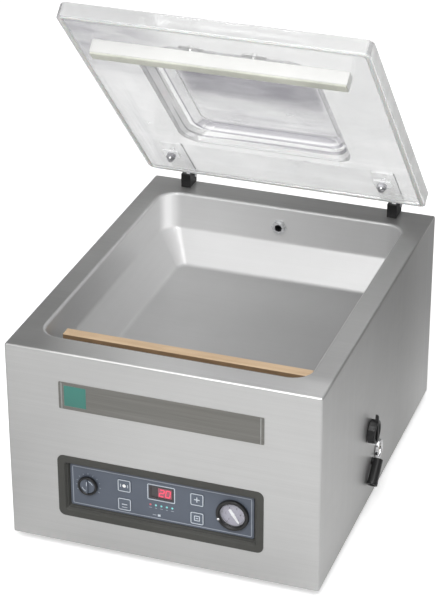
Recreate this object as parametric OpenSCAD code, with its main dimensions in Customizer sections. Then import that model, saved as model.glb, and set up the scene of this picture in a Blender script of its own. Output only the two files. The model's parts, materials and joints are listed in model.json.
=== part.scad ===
// Tabletop vacuum chamber sealer with a hinged clear lid. Millimetres, +Z up, front towards -Y.
// Origin: centre of the footprint on the bench top. The lid is drawn open, resting on its stop.

/* [Body] */
// width of the cabinet
body_w = 450; // [446:1:456]
// depth of the cabinet
body_d = 576; // [572:1:584]
// height from skirt to deck
body_h = 302; // [296:1:312]
// height of the rubber feet
foot_h = 12; // [8:1:16]
// sheet thickness of the cabinet
sheet = 1.5; // [1.2:0.1:2]
// outside bend radius of the cabinet
bend_r = 3; // [2.5:0.5:4]

/* [Chamber] */
// half width of the deck opening
open_hw = 191; // [188:1:193]
// front lip of the opening, from the cabinet front
open_front = 42; // [41:1:46]
// back lip of the opening, from the cabinet front
open_back = 524; // [518:1:525]
// corner radius of the opening
open_r = 28; // [20:1:34]
// depth of the chamber floor below the deck
cham_depth = 104; // [100:1:108]
// height of the sloped part above the floor
slope_h = 47; // [40:1:52]
// inward run of the sloped part
slope_in = 36; // [30:1:38]

/* [Lid] */
// how far the lid stands open at rest, degrees
open_deg = 47.5; // [40:0.5:55]
// half width of the lid
lid_hw = 220; // [219:0.5:222]
// front edge of the closed lid, from the cabinet front
lid_front = 33; // [31:0.5:34]
// rear edge of the closed lid, from the cabinet front
lid_back = 535; // [534:0.5:537]
// thickness of the lid rim
lid_t = 22; // [20:0.5:24]
// inner height of the dome above the rim underside
dome_h = 30; // [26:1:34]
// wall thickness of the dome
dome_t = 8; // [6:0.5:9]
// half width of the dome mouth
dome_hw = 131; // [126:1:134]

/* [Sealing] */
// length of the sealing bar
bar_len = 358; // [350:1:362]
// distance of the bar from the cabinet front
bar_y = 102; // [100:0.5:104]

/* [Controls] */
// width of the control bezel
bezel_w = 299; // [292:1:304]
// height of the control bezel
bezel_h = 97.5; // [94:0.5:100]
// depth of the keypad below the front
pocket_d = 7; // [6:0.5:9]
// side of a key
key_s = 20; // [18:0.5:22]
// radius of the vacuum gauge
gauge_r = 23.5; // [22:0.5:24.5]

/* [Hidden] */
$fn = 48;

// ---------- ranges: [low, high] along one axis ----------
function span(centre, half) = [centre - half, centre + half];
function from(base, start, end) = [base + start, base + end];
function grow(range, by) = [range[0] - by, range[1] + by];
function size(range) = range[1] - range[0];

// ---------- main levels and places ----------
base_z = foot_h; // underside of the cabinet
deck_z = base_z + body_h;
floor_z = deck_z - cham_depth; // chamber floor
right_x = body_w / 2;
front_y = -body_d / 2;
back_y = body_d / 2;
body_y = [front_y, back_y];
full_x = span(0, body_w); // wider than the cabinet, for cutters
open_x = span(0, open_hw);
open_y = from(front_y, open_front, open_back);
chamber_back = open_y[1];
bar_at = front_y + bar_y; // Y of the sealing bar
lift_x = 120; // X of the lift cylinders, each side
port = [-5, deck_z - 32]; // suction port, [x, z]

// control panel
panel_x = -3.5;
panel_z = base_z + 92.75;
bezel_x = span(panel_x, bezel_w / 2);
bezel_z = span(panel_z, bezel_h / 2);

// right-hand wall fittings, [y, z]
plug = [-50, base_z + 118];
glass = [-5, base_z + 62];
drain = [-32, base_z + 57];

// fixings and rear inlet
foot_x = [-175, 175];
foot_y = [-238, 238];
mount_x = [54, 130];
mount_y = [-40, 10, 205];
cover_screw_x = [-195, 0, 195];
cover_screw_z = [base_z + 6.5, deck_z - 9];
inlet_x = -150;
inlet_z = base_z + 51;

// ---------- shared shapes ----------
module rounded_rect(xs, ys, radius) {
  translate([xs[0] + radius, ys[0]]) square([size(xs) - 2 * radius, size(ys)]);
  translate([xs[0], ys[0] + radius]) square([size(xs), size(ys) - 2 * radius]);
  for (x = grow(xs, -radius), y = grow(ys, -radius)) translate([x, y]) circle(r = radius);
}
// extrude a YZ outline along X
module along_x(xs)
  translate([xs[0], 0, 0]) rotate([90, 0, 90]) linear_extrude(size(xs)) children();
// extrude an XZ outline along Y
module along_y(ys)
  translate([0, ys[1], 0]) rotate([90, 0, 0]) linear_extrude(size(ys)) children();
module box(xs, ys, zs)
  translate([xs[0], ys[0], zs[0]]) cube([size(xs), size(ys), size(zs)]);
// rounded plate lying flat
module slab(xs, ys, radius, zs)
  translate([0, 0, zs[0]]) linear_extrude(size(zs)) rounded_rect(xs, ys, radius);
// rounded plate standing in the XZ plane
module plate_y(xs, zs, radius, ys) along_y(ys) rounded_rect(xs, zs, radius);
// cylinders along one axis; the centre gives the other two coordinates in order
module cylx(xs, centre, radius, facets = 48)
  translate([xs[0], centre[0], centre[1]]) rotate([0, 90, 0])
    cylinder(r = radius, h = size(xs), $fn = facets);
module cyly(ys, centre, radius, facets = 48)
  translate([centre[0], ys[0], centre[1]]) rotate([-90, 0, 0])
    cylinder(r = radius, h = size(ys), $fn = facets);
module cylz(zs, centre, radius, facets = 48)
  translate([centre[0], centre[1], zs[0]]) cylinder(r = radius, h = size(zs), $fn = facets);

// cabinet block with rounded folds, shrunk by inset
module cabinet_block(inset, radius) {
  xs = span(0, right_x - inset);
  zs = [base_z - 20, deck_z - inset];
  intersection() {
    slab(xs, grow(body_y, -inset), radius, [base_z - 1, deck_z + 1]);
    plate_y(xs, zs, radius, grow(body_y, 1));
    along_x(full_x) rounded_rect([front_y + inset, back_y + 40], zs, radius);
    box(full_x, grow(body_y, 5), [base_z, deck_z + 5]);
  }
}
// section of the chamber: sloped foot, upright walls
function chamber_section(range, wall) =
  let (slope_wall = wall * 0.45, outer = grow(range, wall), slope_top = floor_z + slope_h - slope_wall)
  [
    [range[0] + slope_in - slope_wall, floor_z - wall],
    [range[1] - slope_in + slope_wall, floor_z - wall],
    [outer[1], slope_top],
    [outer[1], deck_z + 2],
    [outer[0], deck_z + 2],
    [outer[0], slope_top]
  ];
// inside of the chamber, grown outwards by wall
module cavity(wall) intersection() {
  slab(grow(open_x, wall), grow(open_y, wall), open_r + wall, [floor_z - wall, deck_z + 1]);
  along_y(grow(open_y, 10 + wall)) polygon(chamber_section(open_x, wall));
  along_x(grow(open_x, 10 + wall)) polygon(chamber_section(open_y, wall));
}

// ---------- cabinet ----------
cover_y = [back_y, back_y + 1.5];
accent_x = [-139, -107];
accent_z = from(base_z, 222, 253.5);
accent_back = front_y - 0.6;

module housing_shell() color([0.78, 0.78, 0.78]) difference() {
  cabinet_block(0, bend_r);
  // hollow, leaving the back wall in place
  difference() {
    cabinet_block(sheet, bend_r - sheet);
    box(full_x, [back_y - sheet - 0.01, back_y + 10], [base_z - 5, deck_z + 5]);
  }
  // opening in the back wall, then the open underside
  box(span(0, right_x - 20), span(back_y, 10), [base_z + 10, deck_z - 18]);
  box(span(0, right_x - sheet), grow(body_y, -sheet), from(base_z, -1, sheet));
  cavity(0);
  plate_y(grow(bezel_x, -3), grow(bezel_z, -3), 6, span(front_y, 5));
  cylx(span(right_x, 5), plug, 12);
  cylx(span(right_x, 5), glass, 13.5);
  cylx(span(right_x, 5), drain, 6);
  for (x = cover_screw_x, z = cover_screw_z) cyly(span(back_y, 10), [x, z], 1.8, 24);
}
module chamber_pan() color([0.66, 0.66, 0.66]) {
  flange = 14;
  wall = 1.5;
  under_deck = deck_z - sheet;
  difference() {
    union() {
      slab(grow(open_x, flange), grow(open_y, flange), open_r + flange,
        [under_deck - wall, under_deck]);
      intersection() {
        cavity(wall);
        box(full_x, body_y, [floor_z - 5, under_deck]);
      }
    }
    cavity(0);
    cyly(span(chamber_back, 5), port, 8);
    for (side = [-1, 1]) cylz(span(floor_z, 5), [side * lift_x, bar_at], 4, 24);
  }
}
module base_plate() color([0.6, 0.6, 0.6]) {
  inset = sheet + 0.1;
  cut_z = span(base_z, 5);
  difference() {
    slab(span(0, right_x - inset), grow(body_y, -inset), 1.5, from(base_z, 0, 2));
    for (x = foot_x, y = foot_y) cylz(cut_z, [x, y], 3.2, 24);
    for (i = [0:7]) box(from(i * 16, -60, -54), [60, 150], cut_z);
    for (x = mount_x, y = mount_y) cylz(cut_z, [x, y], 3.2, 24);
  }
}
module rear_cover() color([0.72, 0.72, 0.72]) difference() {
  plate_y([-212, 212], [base_z + 3, deck_z - 5], 4, cover_y);
  // two rows of upright slots
  for (i = [0:11], j = [0:1])
    plate_y(from(i * 17, -96, -90), from(base_z + j * 62, 40, 90), 2.9, span(back_y, 5));
  plate_y(span(inlet_x, 14), span(inlet_z, 11), 3, span(back_y, 5));
  for (x = cover_screw_x, z = cover_screw_z) cyly(span(back_y, 10), [x, z], 1.9, 24);
}
module rear_screws() color([0.8, 0.8, 0.8]) for (x = cover_screw_x, z = cover_screw_z) {
  cyly(from(back_y, -6, 1.5), [x, z], 1.5, 24);
  difference() {
    cyly(from(back_y, 1.5, 3.5), [x, z], 3.4, 32);
    cyly(from(back_y, 2.6, 5), [x, z], 1.6, 6);
  }
}
module feet() color([0.12, 0.12, 0.12]) for (x = foot_x, y = foot_y) difference() {
  union() {
    cylz([0, foot_h - 3], [x, y], 15);
    cylz([foot_h - 3, foot_h], [x, y], 17);
  }
  cylz([-1, 5], [x, y], 7);
  cylz([-1, foot_h + 1], [x, y], 3.3, 32);
}
// shank and head from below, hex nut on the base plate
module foot_screws() color([0.7, 0.7, 0.7]) for (x = foot_x, y = foot_y) {
  cylz([3, base_z + 10], [x, y], 3, 24);
  cylz([2, 5], [x, y], 6, 32);
  difference() {
    cylz(from(base_z, 2, 7), [x, y], 5.5, 6);
    cylz(from(base_z, 1, 8), [x, y], 3.05, 24);
  }
}
module name_plate() color([0.33, 0.31, 0.3]) difference() {
  plate_y([-147, 146], from(base_z, 216.5, 258), 1.5, from(front_y, -1, 0));
  box(accent_x, [front_y - 2, accent_back], accent_z);
}
module name_plate_accent() color([0.05, 0.42, 0.36])
  box(accent_x, [front_y - 1.2, accent_back], accent_z);

// ---------- control panel ----------
pad_y = front_y + pocket_d; // front face of the keypad
pad_cut_y = from(pad_y, -1, 4);
key_x = [panel_x - 54, panel_x + 52];
key_z = [panel_z - 17, panel_z + 13];
knob = [panel_x - 107.5, panel_z + 3]; // [x, z]
gauge = [panel_x + 103.5, panel_z]; // [x, z]
gauge_bore = gauge_r - 5.5;
dial_r = gauge_r - 5.6;
window_x = span(panel_x, 18);
window_z = from(panel_z, 1, 22);
lights = [for (i = [0:4]) [panel_x - 16 + i * 8, panel_z - 9]]; // [x, z]

module control_bezel() color([0.3, 0.3, 0.29]) difference() {
  union() {
    plate_y(bezel_x, bezel_z, 9, from(front_y, -1.2, 0));
    plate_y(grow(bezel_x, -3.3), grow(bezel_z, -3.3), 5.7, from(front_y, -1, 12));
  }
  plate_y(grow(bezel_x, -15.5), grow(bezel_z, -15.5), 3, from(front_y, -2, 13));
}
module membrane_panel() color([0.4, 0.42, 0.46]) {
  key_hole = key_s / 2 + 0.3;
  difference() {
    plate_y(grow(bezel_x, -15.7), grow(bezel_z, -15.7), 2.8, from(pad_y, 0, 3));
    for (x = key_x, z = key_z) plate_y(span(x, key_hole), span(z, key_hole), 3, pad_cut_y);
    plate_y(window_x, window_z, 1.5, pad_cut_y);
    cyly(pad_cut_y, knob, 4.5);
    cyly(pad_cut_y, gauge, gauge_r - 2);
    for (light = lights) cyly(pad_cut_y, light, 1.55, 24);
  }
}
module display_window() color([0.12, 0.03, 0.04]) difference() {
  plate_y(grow(window_x, -0.1), grow(window_z, -0.1), 1.4, from(pad_y, 0.2, 3));
  plate_y(from(panel_x, -15, 16), from(panel_z, 4, 19), 1, from(pad_y, 1.5, 4));
}
// seven-segment digit: segment width, half height and stroke
seg_w = 6.2;
seg_h = 5.4;
stroke = 0.9;
seg_left = [-0.3 - stroke, -0.3];
seg_right = from(seg_w + 0.3, 0, stroke);
seg_low = [0.2, seg_h - 1.2];
seg_high = [seg_h + 0.2, 2 * seg_h - 0.4];
// segments a to g: [x range, z range]
segments = [
  [[0, seg_w], [2 * seg_h - stroke, 2 * seg_h]],
  [seg_right, seg_high],
  [seg_right, seg_low],
  [[0, seg_w], [-stroke, 0]],
  [seg_left, seg_low],
  [seg_left, seg_high],
  [[1, seg_w - 1], [seg_h - stroke, seg_h]]
];
// lit holds one flag for each segment
module digit(x, z, lit) for (i = [0:6]) if (lit[i]) {
  xs = segments[i][0];
  zs = segments[i][1];
  box(from(x, xs[0], xs[1]), from(pad_y, 1.6, 2.6), from(z, zs[0], zs[1]));
}
module display_digits() color([0.85, 0.15, 0.2]) {
  digit(panel_x - 4.6, panel_z + 6.4, [1, 1, 0, 1, 1, 0, 1]);
  digit(panel_x + 6.6, panel_z + 6.4, [1, 1, 1, 1, 1, 1, 0]);
}
module indicator_lights() color([0.3, 0.75, 0.7])
  for (light = lights) cyly(from(pad_y, -0.2, 5), light, 1.5, 24);
// square cap with a round stem behind it
module key_cap(x, z) color([0.55, 0.58, 0.62]) {
  plate_y(span(x, key_s / 2), span(z, key_s / 2), 2.7, from(pad_y, -0.8, 2.4));
  cyly(from(pad_y, 2.4, 6), [x, z], 3, 24);
}
module key_program() key_cap(key_x[0], key_z[1]);
module key_minus() key_cap(key_x[0], key_z[0]);
module key_plus() key_cap(key_x[1], key_z[1]);
module key_stop() key_cap(key_x[1], key_z[0]);
module main_knob() color([0.08, 0.08, 0.09]) {
  ridge_x = span(knob[0], 1.5);
  ridge_z = span(knob[1], 10);
  difference() {
    union() {
      cyly(from(pad_y, -5.5, -0.4), knob, 14.5);
      cyly(from(pad_y, -0.5, 10), knob, 3);
      box(ridge_x, from(pad_y, -7, -4), ridge_z);
    }
    // round recess in the face, either side of the ridge
    difference() {
      cyly(from(pad_y, -8, -3.8), knob, 11.3);
      box(ridge_x, from(pad_y, -9, 0), ridge_z);
    }
  }
}
module knob_switch() color([0.2, 0.2, 0.22]) difference() {
  union() {
    box(span(knob[0], 13), from(pad_y, 12, 17), span(knob[1], 13));
    cyly(from(pad_y, 3, 12), knob, 6);
    for (x = [-8, 0, 8])
      box(span(knob[0] + x, 2.5), from(pad_y, 17, 19.3), span(knob[1], 5));
  }
  cyly(from(pad_y, 2, 11.5), knob, 3.05);
}
module gauge_case() color([0.06, 0.06, 0.07]) {
  // front ring
  difference() {
    cyly(from(pad_y, -5, 0), gauge, gauge_r);
    cyly(from(pad_y, -6, 1), gauge, gauge_bore);
  }
  // cup behind the panel, with the needle shaft hole
  difference() {
    cyly(from(pad_y, 0, 24), gauge, gauge_r - 2.3);
    cyly(from(pad_y, -1, 10), gauge, gauge_bore);
    cyly(from(pad_y, 9, 16), gauge, 1.05, 24);
  }
  // rear stub
  cyly(from(pad_y, 24, 36), gauge, 5);
}
module gauge_dial() color([0.72, 0.7, 0.72]) difference() {
  cyly(from(pad_y, 1, 2), gauge, dial_r);
  cyly(from(pad_y, 0, 3), gauge, 1.3, 24);
}
// half outline of both ends of the needle, [x, z], long tip down
needle_outline = [[-1.7, 9], [1.7, 9], [2.1, 0], [0.5, -15.5], [-0.5, -15.5], [-2.1, 0]];
needle_deg = -34;
module gauge_needle() color([0.95, 0.95, 0.95]) translate([gauge[0], 0, gauge[1]]) {
  cyly(from(pad_y, -0.6, 0.4), [0, 0], 2.4, 32);
  cyly(from(pad_y, 0.3, 15), [0, 0], 1, 24);
  rotate([0, needle_deg, 0]) along_y(from(pad_y, -0.4, 0.3)) polygon(needle_outline);
}
module gauge_glass() color([0.85, 0.9, 0.92, 0.3])
  cyly(from(pad_y, -3.6, -2.2), gauge, dial_r);
module gauge_stop_pin() color([0.85, 0.85, 0.85])
  cyly(from(pad_y, -6.2, -5), gauge - [19.4, 8], 2, 32);
// board with four blocks on its back
module control_board() color([0.1, 0.35, 0.18]) {
  difference() {
    box(from(panel_x, -88, 72), from(pad_y, 8, 9.6), span(panel_z, 32));
    for (x = key_x, z = key_z) cyly(from(pad_y, 6, 12), [x, z], 3.4, 24);
  }
  for (i = [0:3])
    box(from(panel_x + i * 16, -30, -20), from(pad_y, 9.6, 13), from(panel_z, -26, -12));
}

// ---------- chamber fittings ----------
hose_r = 10;
hose_bend = 14;
hose_turn_y = chamber_back + 24; // where the hose turns down
hose_drop = [port[0], hose_turn_y + hose_bend]; // [x, y]
bar_bottom = floor_z + 54;
bar_top = deck_z - 30;
insulator_top = deck_z - 26.4;
bar_x = span(0, bar_len / 2);

module suction_port() color([0.75, 0.75, 0.75]) difference() {
  union() {
    cyly(from(chamber_back, -4, 0), port, 12, 6);
    cyly(from(chamber_back, -5.5, -4), port, 9.4);
    cyly(from(chamber_back, 0, 20), port, 7.8);
  }
  cyly(from(chamber_back, -7, 22), port, 5.5);
}
// solid hose with a socket at each end
module vacuum_hose() color([0.15, 0.15, 0.16]) difference() {
  union() {
    cyly([chamber_back + 10, hose_turn_y], port, hose_r, 32);
    translate([port[0], hose_turn_y, port[1] - hose_bend])
      rotate([0, 90, 0]) rotate([0, 0, 90]) rotate_extrude(angle = 90, $fn = 48)
        translate([hose_bend, 0]) circle(r = hose_r, $fn = 32);
    cylz([base_z + 108, port[1] - hose_bend], hose_drop, hose_r, 32);
  }
  cyly(from(chamber_back, 5, 20), port, 7.85);
  cylz(from(base_z, 100, 118), hose_drop, 7.05);
}
module lift_cylinders() color([0.7, 0.7, 0.72]) for (side = [-1, 1]) {
  centre = [side * lift_x, bar_at];
  difference() {
    union() {
      cylz(from(floor_z, 0, 38), centre, 13);
      cylz(from(floor_z, -14, 0), centre, 3.9, 24);
    }
    cylz(from(floor_z, 5, 40), centre, 6.05);
    cylz(from(floor_z, -15, 6), centre, 1.5, 24);
  }
}
module seal_bar_body() color([0.75, 0.75, 0.76])
  box(bar_x, span(bar_at, 8), [bar_bottom, bar_top]);
module seal_bar_insulator() color([0.35, 0.22, 0.14])
  box(bar_x, span(bar_at, 8), [bar_top, insulator_top]);
// two parallel wires, each with a short pad at both ends
module seal_wires() color([0.7, 0.68, 0.65]) for (side = [-1, 1]) {
  ys = span(bar_at + side * 4, 1.5);
  zs = [insulator_top, deck_z - 26];
  box(grow(bar_x, -6), ys, zs);
  for (end = [-1, 1]) box(span(end * (bar_len / 2 - 4), 2), ys, zs);
}
module seal_tape() color([0.72, 0.56, 0.38]) difference() {
  box(bar_x, span(bar_at, 9), from(deck_z, -38, -25.5));
  box(span(0, bar_len), span(bar_at, 8), [deck_z - 40, insulator_top]);
  for (side = [-1, 1])
    box(grow(bar_x, -1), span(bar_at + side * 4, 1.5), from(deck_z, -30, -26));
}
module seal_bar_pistons() color([0.8, 0.8, 0.8])
  for (side = [-1, 1]) cylz([floor_z + 10, bar_bottom], [side * lift_x, bar_at], 6);

// ---------- lid, drawn closed and swung to the open stop ----------
lid_z = deck_z + 1.5; // underside of the closed lid
lid_top = lid_z + lid_t;
lid_x = span(0, lid_hw);
lid_y = from(front_y, lid_front, lid_back);
lid_r = 12;
dome_x = span(0, dome_hw);
dome_y = [lid_y[0] + 92, lid_y[1] - 131];
hinge_x = 164.5;
hinge_y = back_y - 8;
hinge_z = deck_z + 14;
hinge_axis = [hinge_y, hinge_z];
bolt = [0, front_y + 463]; // lid bolt, [x from the hinge centre, y]
counter_screw_x = [-45, 45];
washer_z = lid_z - 2; // underside of the hinge washers

module swing()
  translate([0, hinge_y, hinge_z]) rotate([-open_deg, 0, 0])
    translate([0, -hinge_y, -hinge_z]) children();
module at_hinges() for (side = [-1, 1]) translate([side * hinge_x, 0, 0]) children();
// section narrowing upwards by a run at each end
function dome_section(range, low_run, high_run, bottom, height) = [
  [range[0], bottom],
  [range[1], bottom],
  [range[1] - high_run, bottom + height],
  [range[0] + low_run, bottom + height]
];
module dome(wall, bottom, height) {
  xs = grow(dome_x, wall);
  ys = grow(dome_y, wall);
  intersection() {
    along_y(grow(ys, 5)) polygon(dome_section(xs, 26, 26, bottom, height));
    along_x(grow(xs, 5)) polygon(dome_section(ys, 16, 4, bottom, height));
  }
}
// ring following the lid edge, between two insets
module edge_ring(outer, inner, zs) difference() {
  slab(grow(lid_x, -outer), grow(lid_y, -outer), lid_r - outer, zs);
  slab(grow(lid_x, -inner), grow(lid_y, -inner), lid_r - inner, from(lid_z, -2, 3));
}
module lid_shell() color([0.86, 0.87, 0.88, 0.35]) swing() difference() {
  union() {
    slab(lid_x, lid_y, lid_r, [lid_z, lid_top]);
    dome(dome_t, lid_z, dome_h + dome_t);
  }
  dome(0, lid_z - 1, dome_h + 1);
  edge_ring(2.5, 8.5, from(lid_z, -1, 2));
  at_hinges() cylz([lid_z - 5, lid_top + 5], bolt, 3.2, 24);
  for (x = counter_screw_x) cylz([lid_z - 5, lid_top + 5], [x, bar_at], 2.7, 24);
}
module lid_gasket() color([0.82, 0.83, 0.82]) swing()
  edge_ring(2.6, 8.4, from(lid_z, -1.25, 1.95));
module counter_bar_holder() color([0.93, 0.93, 0.92]) swing() difference() {
  box([-182, 182], span(bar_at, 10.2), from(lid_z, -19.5, 0));
  for (x = counter_screw_x) cylz(from(lid_z, -12.5, 1), [x, bar_at], 2.4, 24);
}
module counter_bar_silicone() color([0.62, 0.65, 0.58]) swing()
  box([-181, 181], span(bar_at, 9), from(lid_z, -22, -19.5));
// screws with a hex recess, each on a long rounded washer
module counter_bar_screws() color([0.6, 0.6, 0.62]) swing() for (x = counter_screw_x) {
  head_z = lid_top + 1.6;
  cylz([lid_z - 12, head_z], [x, bar_at], 2.35, 24);
  difference() {
    cylz(from(head_z, 0, 2.4), [x, bar_at], 4.2, 32);
    cylz(from(head_z, 1.4, 3.4), [x, bar_at], 2.1, 6);
  }
  slab(span(x, 18), span(bar_at, 4.5), 4.4, [lid_top, head_z]);
}
module hinge_arms() color([0.72, 0.73, 0.74]) swing() at_hinges() difference() {
  union() {
    slab(span(0, 18), [bolt[1] - 20, front_y + 540], 4, from(lid_top, 0, 3));
    box(span(0, 10), [front_y + 530, hinge_y + 7.5], from(lid_top, 0, 3));
    box(span(0, 4), span(hinge_y, 7.5), [hinge_z, lid_top + 1]);
    cylx(span(0, 4), hinge_axis, 7.5);
  }
  cylx(span(0, 6), hinge_axis, 3.05, 32);
  cylz(span(lid_top, 5), bolt, 3.2, 24);
}
module hinge_bolts() color([0.85, 0.85, 0.86]) swing() at_hinges() {
  cylz([lid_z - 10, lid_top + 3], bolt, 3, 24);
  cylz(from(lid_top, 3, 7), bolt, 5.2, 6);
}
module hinge_washers() color([0.88, 0.88, 0.9]) swing() at_hinges() difference() {
  slab(span(0, 13), span(bolt[1], 10), 2, [washer_z, lid_z]);
  cylz(from(lid_z, -4, 2), bolt, 3.2, 24);
}
module hinge_cap_nuts() color([0.9, 0.9, 0.92]) swing() at_hinges() difference() {
  union() {
    cylz([lid_z - 9, washer_z], bolt, 7.5, 6);
    translate([bolt[0], bolt[1], lid_z - 9]) sphere(r = 5.8, $fn = 32);
  }
  cylz(from(lid_z, -10.5, -1), bolt, 3.05, 24);
}
// deck brackets, slotted for the arms
module hinge_bases() color([0.05, 0.05, 0.05]) at_hinges() difference() {
  union() {
    box(span(0, 7.5), from(hinge_y, -22, 0), from(deck_z, 0, 22));
    box(span(0, 7.5), from(hinge_y, -1, 8), [deck_z, hinge_z]);
    cylx(span(0, 7.5), hinge_axis, 8);
  }
  box(span(0, 4.3), from(hinge_y, -17, 20), from(deck_z, 5, 40));
  cylx(span(0, 12), hinge_axis, 3.02, 32);
}
module hinge_pins() color([0.8, 0.8, 0.82]) at_hinges() {
  cylx(span(0, 8.5), hinge_axis, 3, 32);
  for (end = [-1, 1]) cylx(span(end * 8.7, 0.9), hinge_axis, 4, 32);
}

// ---------- vacuum pump and supply ----------
motor = [92, 96]; // motor axis, [x, z]
shaft_r = 8;
case_x = [138, 204]; // oil case
filter = [171, base_z + 168]; // exhaust filter axis, [x, z]
valve_z = base_z + 85;
coil_axis = [chamber_back + 36, valve_z]; // [y, z]
outlet_axis = [hose_drop[1], valve_z]; // [y, z]
trafo_x = -156;
trafo_y = 90;

module pump_body() color([0.45, 0.47, 0.5]) difference() {
  union() {
    box([48, case_x[0]], [-64, 30], from(base_z, 28, 138));
    cyly([30, 44], motor, 44);
    for (i = [0:5]) box(from(i * 15, 50, 54), [-58, 24], from(base_z, 138, 150));
  }
  cyly([-10, 60], motor, shaft_r + 0.5);
}
module pump_oil_case() color([0.5, 0.52, 0.55]) {
  bore_x = [190, right_x + 5];
  difference() {
    union() {
      slab(case_x, [-84, 44], 10, from(base_z, 24, 154));
      cylx([case_x[1], right_x - 3], plug, 11);
      cylx([case_x[1], right_x - 4], glass, 13);
      cylx([case_x[1], right_x - 8], drain, 9);
    }
    box(grow(case_x, -6), [-76, 36], from(base_z, 30, 146));
    cylx(bore_x, plug, 7.05);
    cylx(bore_x, glass, 7);
    cylx(bore_x, drain, 4.05);
  }
}
// the rear pair reaches up to the motor foot, the others to the pump
module pump_mounts() color([0.1, 0.1, 0.1]) for (x = mount_x, y = mount_y) {
  top = base_z + (y > 100 ? 44 : 28);
  cylz([base_z + 2, top - 5], [x, y], 9);
  cylz([top - 5, top], [x, y], 6);
  cylz(span(base_z, 2), [x, y], 3, 24);
}
module oil_filler_plug() color([0.06, 0.06, 0.06]) {
  cylx([200, right_x - 2], plug, 7);
  cylx(from(right_x, -2, 0.8), plug, 10.5);
  difference() {
    cylx(from(right_x, 0.8, 12), plug, 17.5);
    cylx(from(right_x, 9, 13), plug, 12.5);
  }
  box(from(right_x, 8, 13), span(plug[0], 2.2), from(plug[1], -16, 28));
}
module sight_glass_ring() color([0.85, 0.85, 0.86]) difference() {
  union() {
    cylx(from(right_x, -4, 0.4), glass, 12.8);
    cylx(from(right_x, 0.4, 5), glass, 15);
  }
  cylx(span(right_x, 6), glass, 10.5);
}
module sight_glass() color([0.85, 0.8, 0.55, 0.5])
  cylx(from(right_x, -3.5, 2.6), glass, 10.45);
module drain_elbow() color([0.05, 0.05, 0.05]) {
  cylx([206, right_x - 2], drain, 4);
  cylx(from(right_x, -2, 5), drain, 5.5);
  // tilted spout with a collar at its lower end
  translate([right_x + 8, drain[0], drain[1]]) rotate([-47, 0, 0]) {
    difference() {
      cylz([-33, 4], [0, 0], 7.5);
      cylz([-34, -22], [0, 0], 4.5);
    }
    difference() {
      cylz([-35, -30], [0, 0], 7.85);
      cylz([-36, -29], [0, 0], 4.5);
    }
  }
}
// bars set evenly around the motor axis; radii is their reach from it
module spokes(count, half_width, ys, radii)
  for (i = [0:count - 1]) translate([motor[0], 0, motor[1]])
    rotate([0, i * 360 / count, 0]) box(span(0, half_width), ys, radii);
module pump_motor() color([0.35, 0.37, 0.4]) difference() {
  union() {
    cyly([44.2, 226], motor, 50);
    spokes(18, 1.2, [60, 180], [48, 54]);
    box(span(motor[0], 32), [84, 156], from(motor[1], 44, 74));
    box(span(motor[0], 44), [194, 216], from(base_z, 44, 60));
  }
  cyly([54, 190], motor, 34);
  cyly([44, 192], motor, shaft_r + 0.05);
  cyly([194, 224], motor, 46);
  cyly([192.5, 195], motor, 30);
  cyly([189, 193], motor, shaft_r + 0.05);
  spokes(12, 3, [222, 230], [16, 40]);
}
module motor_rotor() color([0.6, 0.6, 0.62]) {
  cyly([-8, 220], motor, shaft_r);
  cyly([70, 176], motor, 30);
}
module motor_fan() color([0.12, 0.12, 0.13]) difference() {
  union() {
    cyly([198, 218], motor, 14);
    spokes(8, 1.2, [198, 218], [12, 42]);
  }
  cyly([190, 230], motor, shaft_r + 0.02);
}
module exhaust_filter() color([0.7, 0.7, 0.68]) {
  cyly([-78, 38], filter, 12);
  cyly([38, 44], filter, 8);
  cyly([-84, -78], filter, 9);
  for (y = [-60, 10]) box(span(filter[0], 5), [y, y + 12], from(base_z, 154, 164));
}
module solenoid_valve() color([0.62, 0.55, 0.35]) difference() {
  union() {
    box([-23, 13], from(chamber_back, 22, 47), span(valve_z, 15));
    cylz(from(base_z, 100, 114), hose_drop, 7);
    cylx([13, 30], outlet_axis, 6);
    cylx([-60, -23], coil_axis, 11);
  }
  cylx([-56, -12], coil_axis, 4.05, 32);
  cylz(from(base_z, 96, 116), hose_drop, 4, 24);
  cylx([20, 31], outlet_axis, 3.5, 24);
}
module valve_plunger() color([0.75, 0.75, 0.75]) cylx([-50, -16], coil_axis, 4, 32);
module transformer() color([0.4, 0.35, 0.3]) {
  // core with two windows
  difference() {
    box(span(trafo_x, 40), span(trafo_y, 40), from(base_z, 6, 76));
    for (x = [-16, 16])
      box(span(trafo_x + x, 8), span(trafo_y, 50), from(base_z, 22, 60));
  }
  box(span(trafo_x, 44), span(trafo_y, 30), from(base_z, 2, 6));
  // winding ends, front and back of the core
  difference() {
    box(span(trafo_x, 22), span(trafo_y, 56), from(base_z, 24, 58));
    box(span(trafo_x, 8), span(trafo_y, 70), from(base_z, 10, 70));
    box([-200, -100], span(trafo_y, 40), from(base_z, 10, 70));
  }
}
module power_inlet() color([0.05, 0.05, 0.05]) {
  // three contact pins, the middle one higher: [x, z] of each lower edge
  for (pin = [[-7, -4], [0, 1], [7, -4]])
    box(span(inlet_x + pin[0], 1), from(back_y, -18.5, -2), from(inlet_z + pin[1], 0, 4));
  difference() {
    union() {
      plate_y(span(inlet_x, 13.8), span(inlet_z, 10.8), 2.8, from(back_y, -22, 1.5));
      plate_y(span(inlet_x, 18), span(inlet_z, 15), 4, from(back_y, 1.5, 3.5));
    }
    plate_y(span(inlet_x, 10.5), span(inlet_z, 7.5), 2, from(back_y, -18, 5));
  }
}

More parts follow.
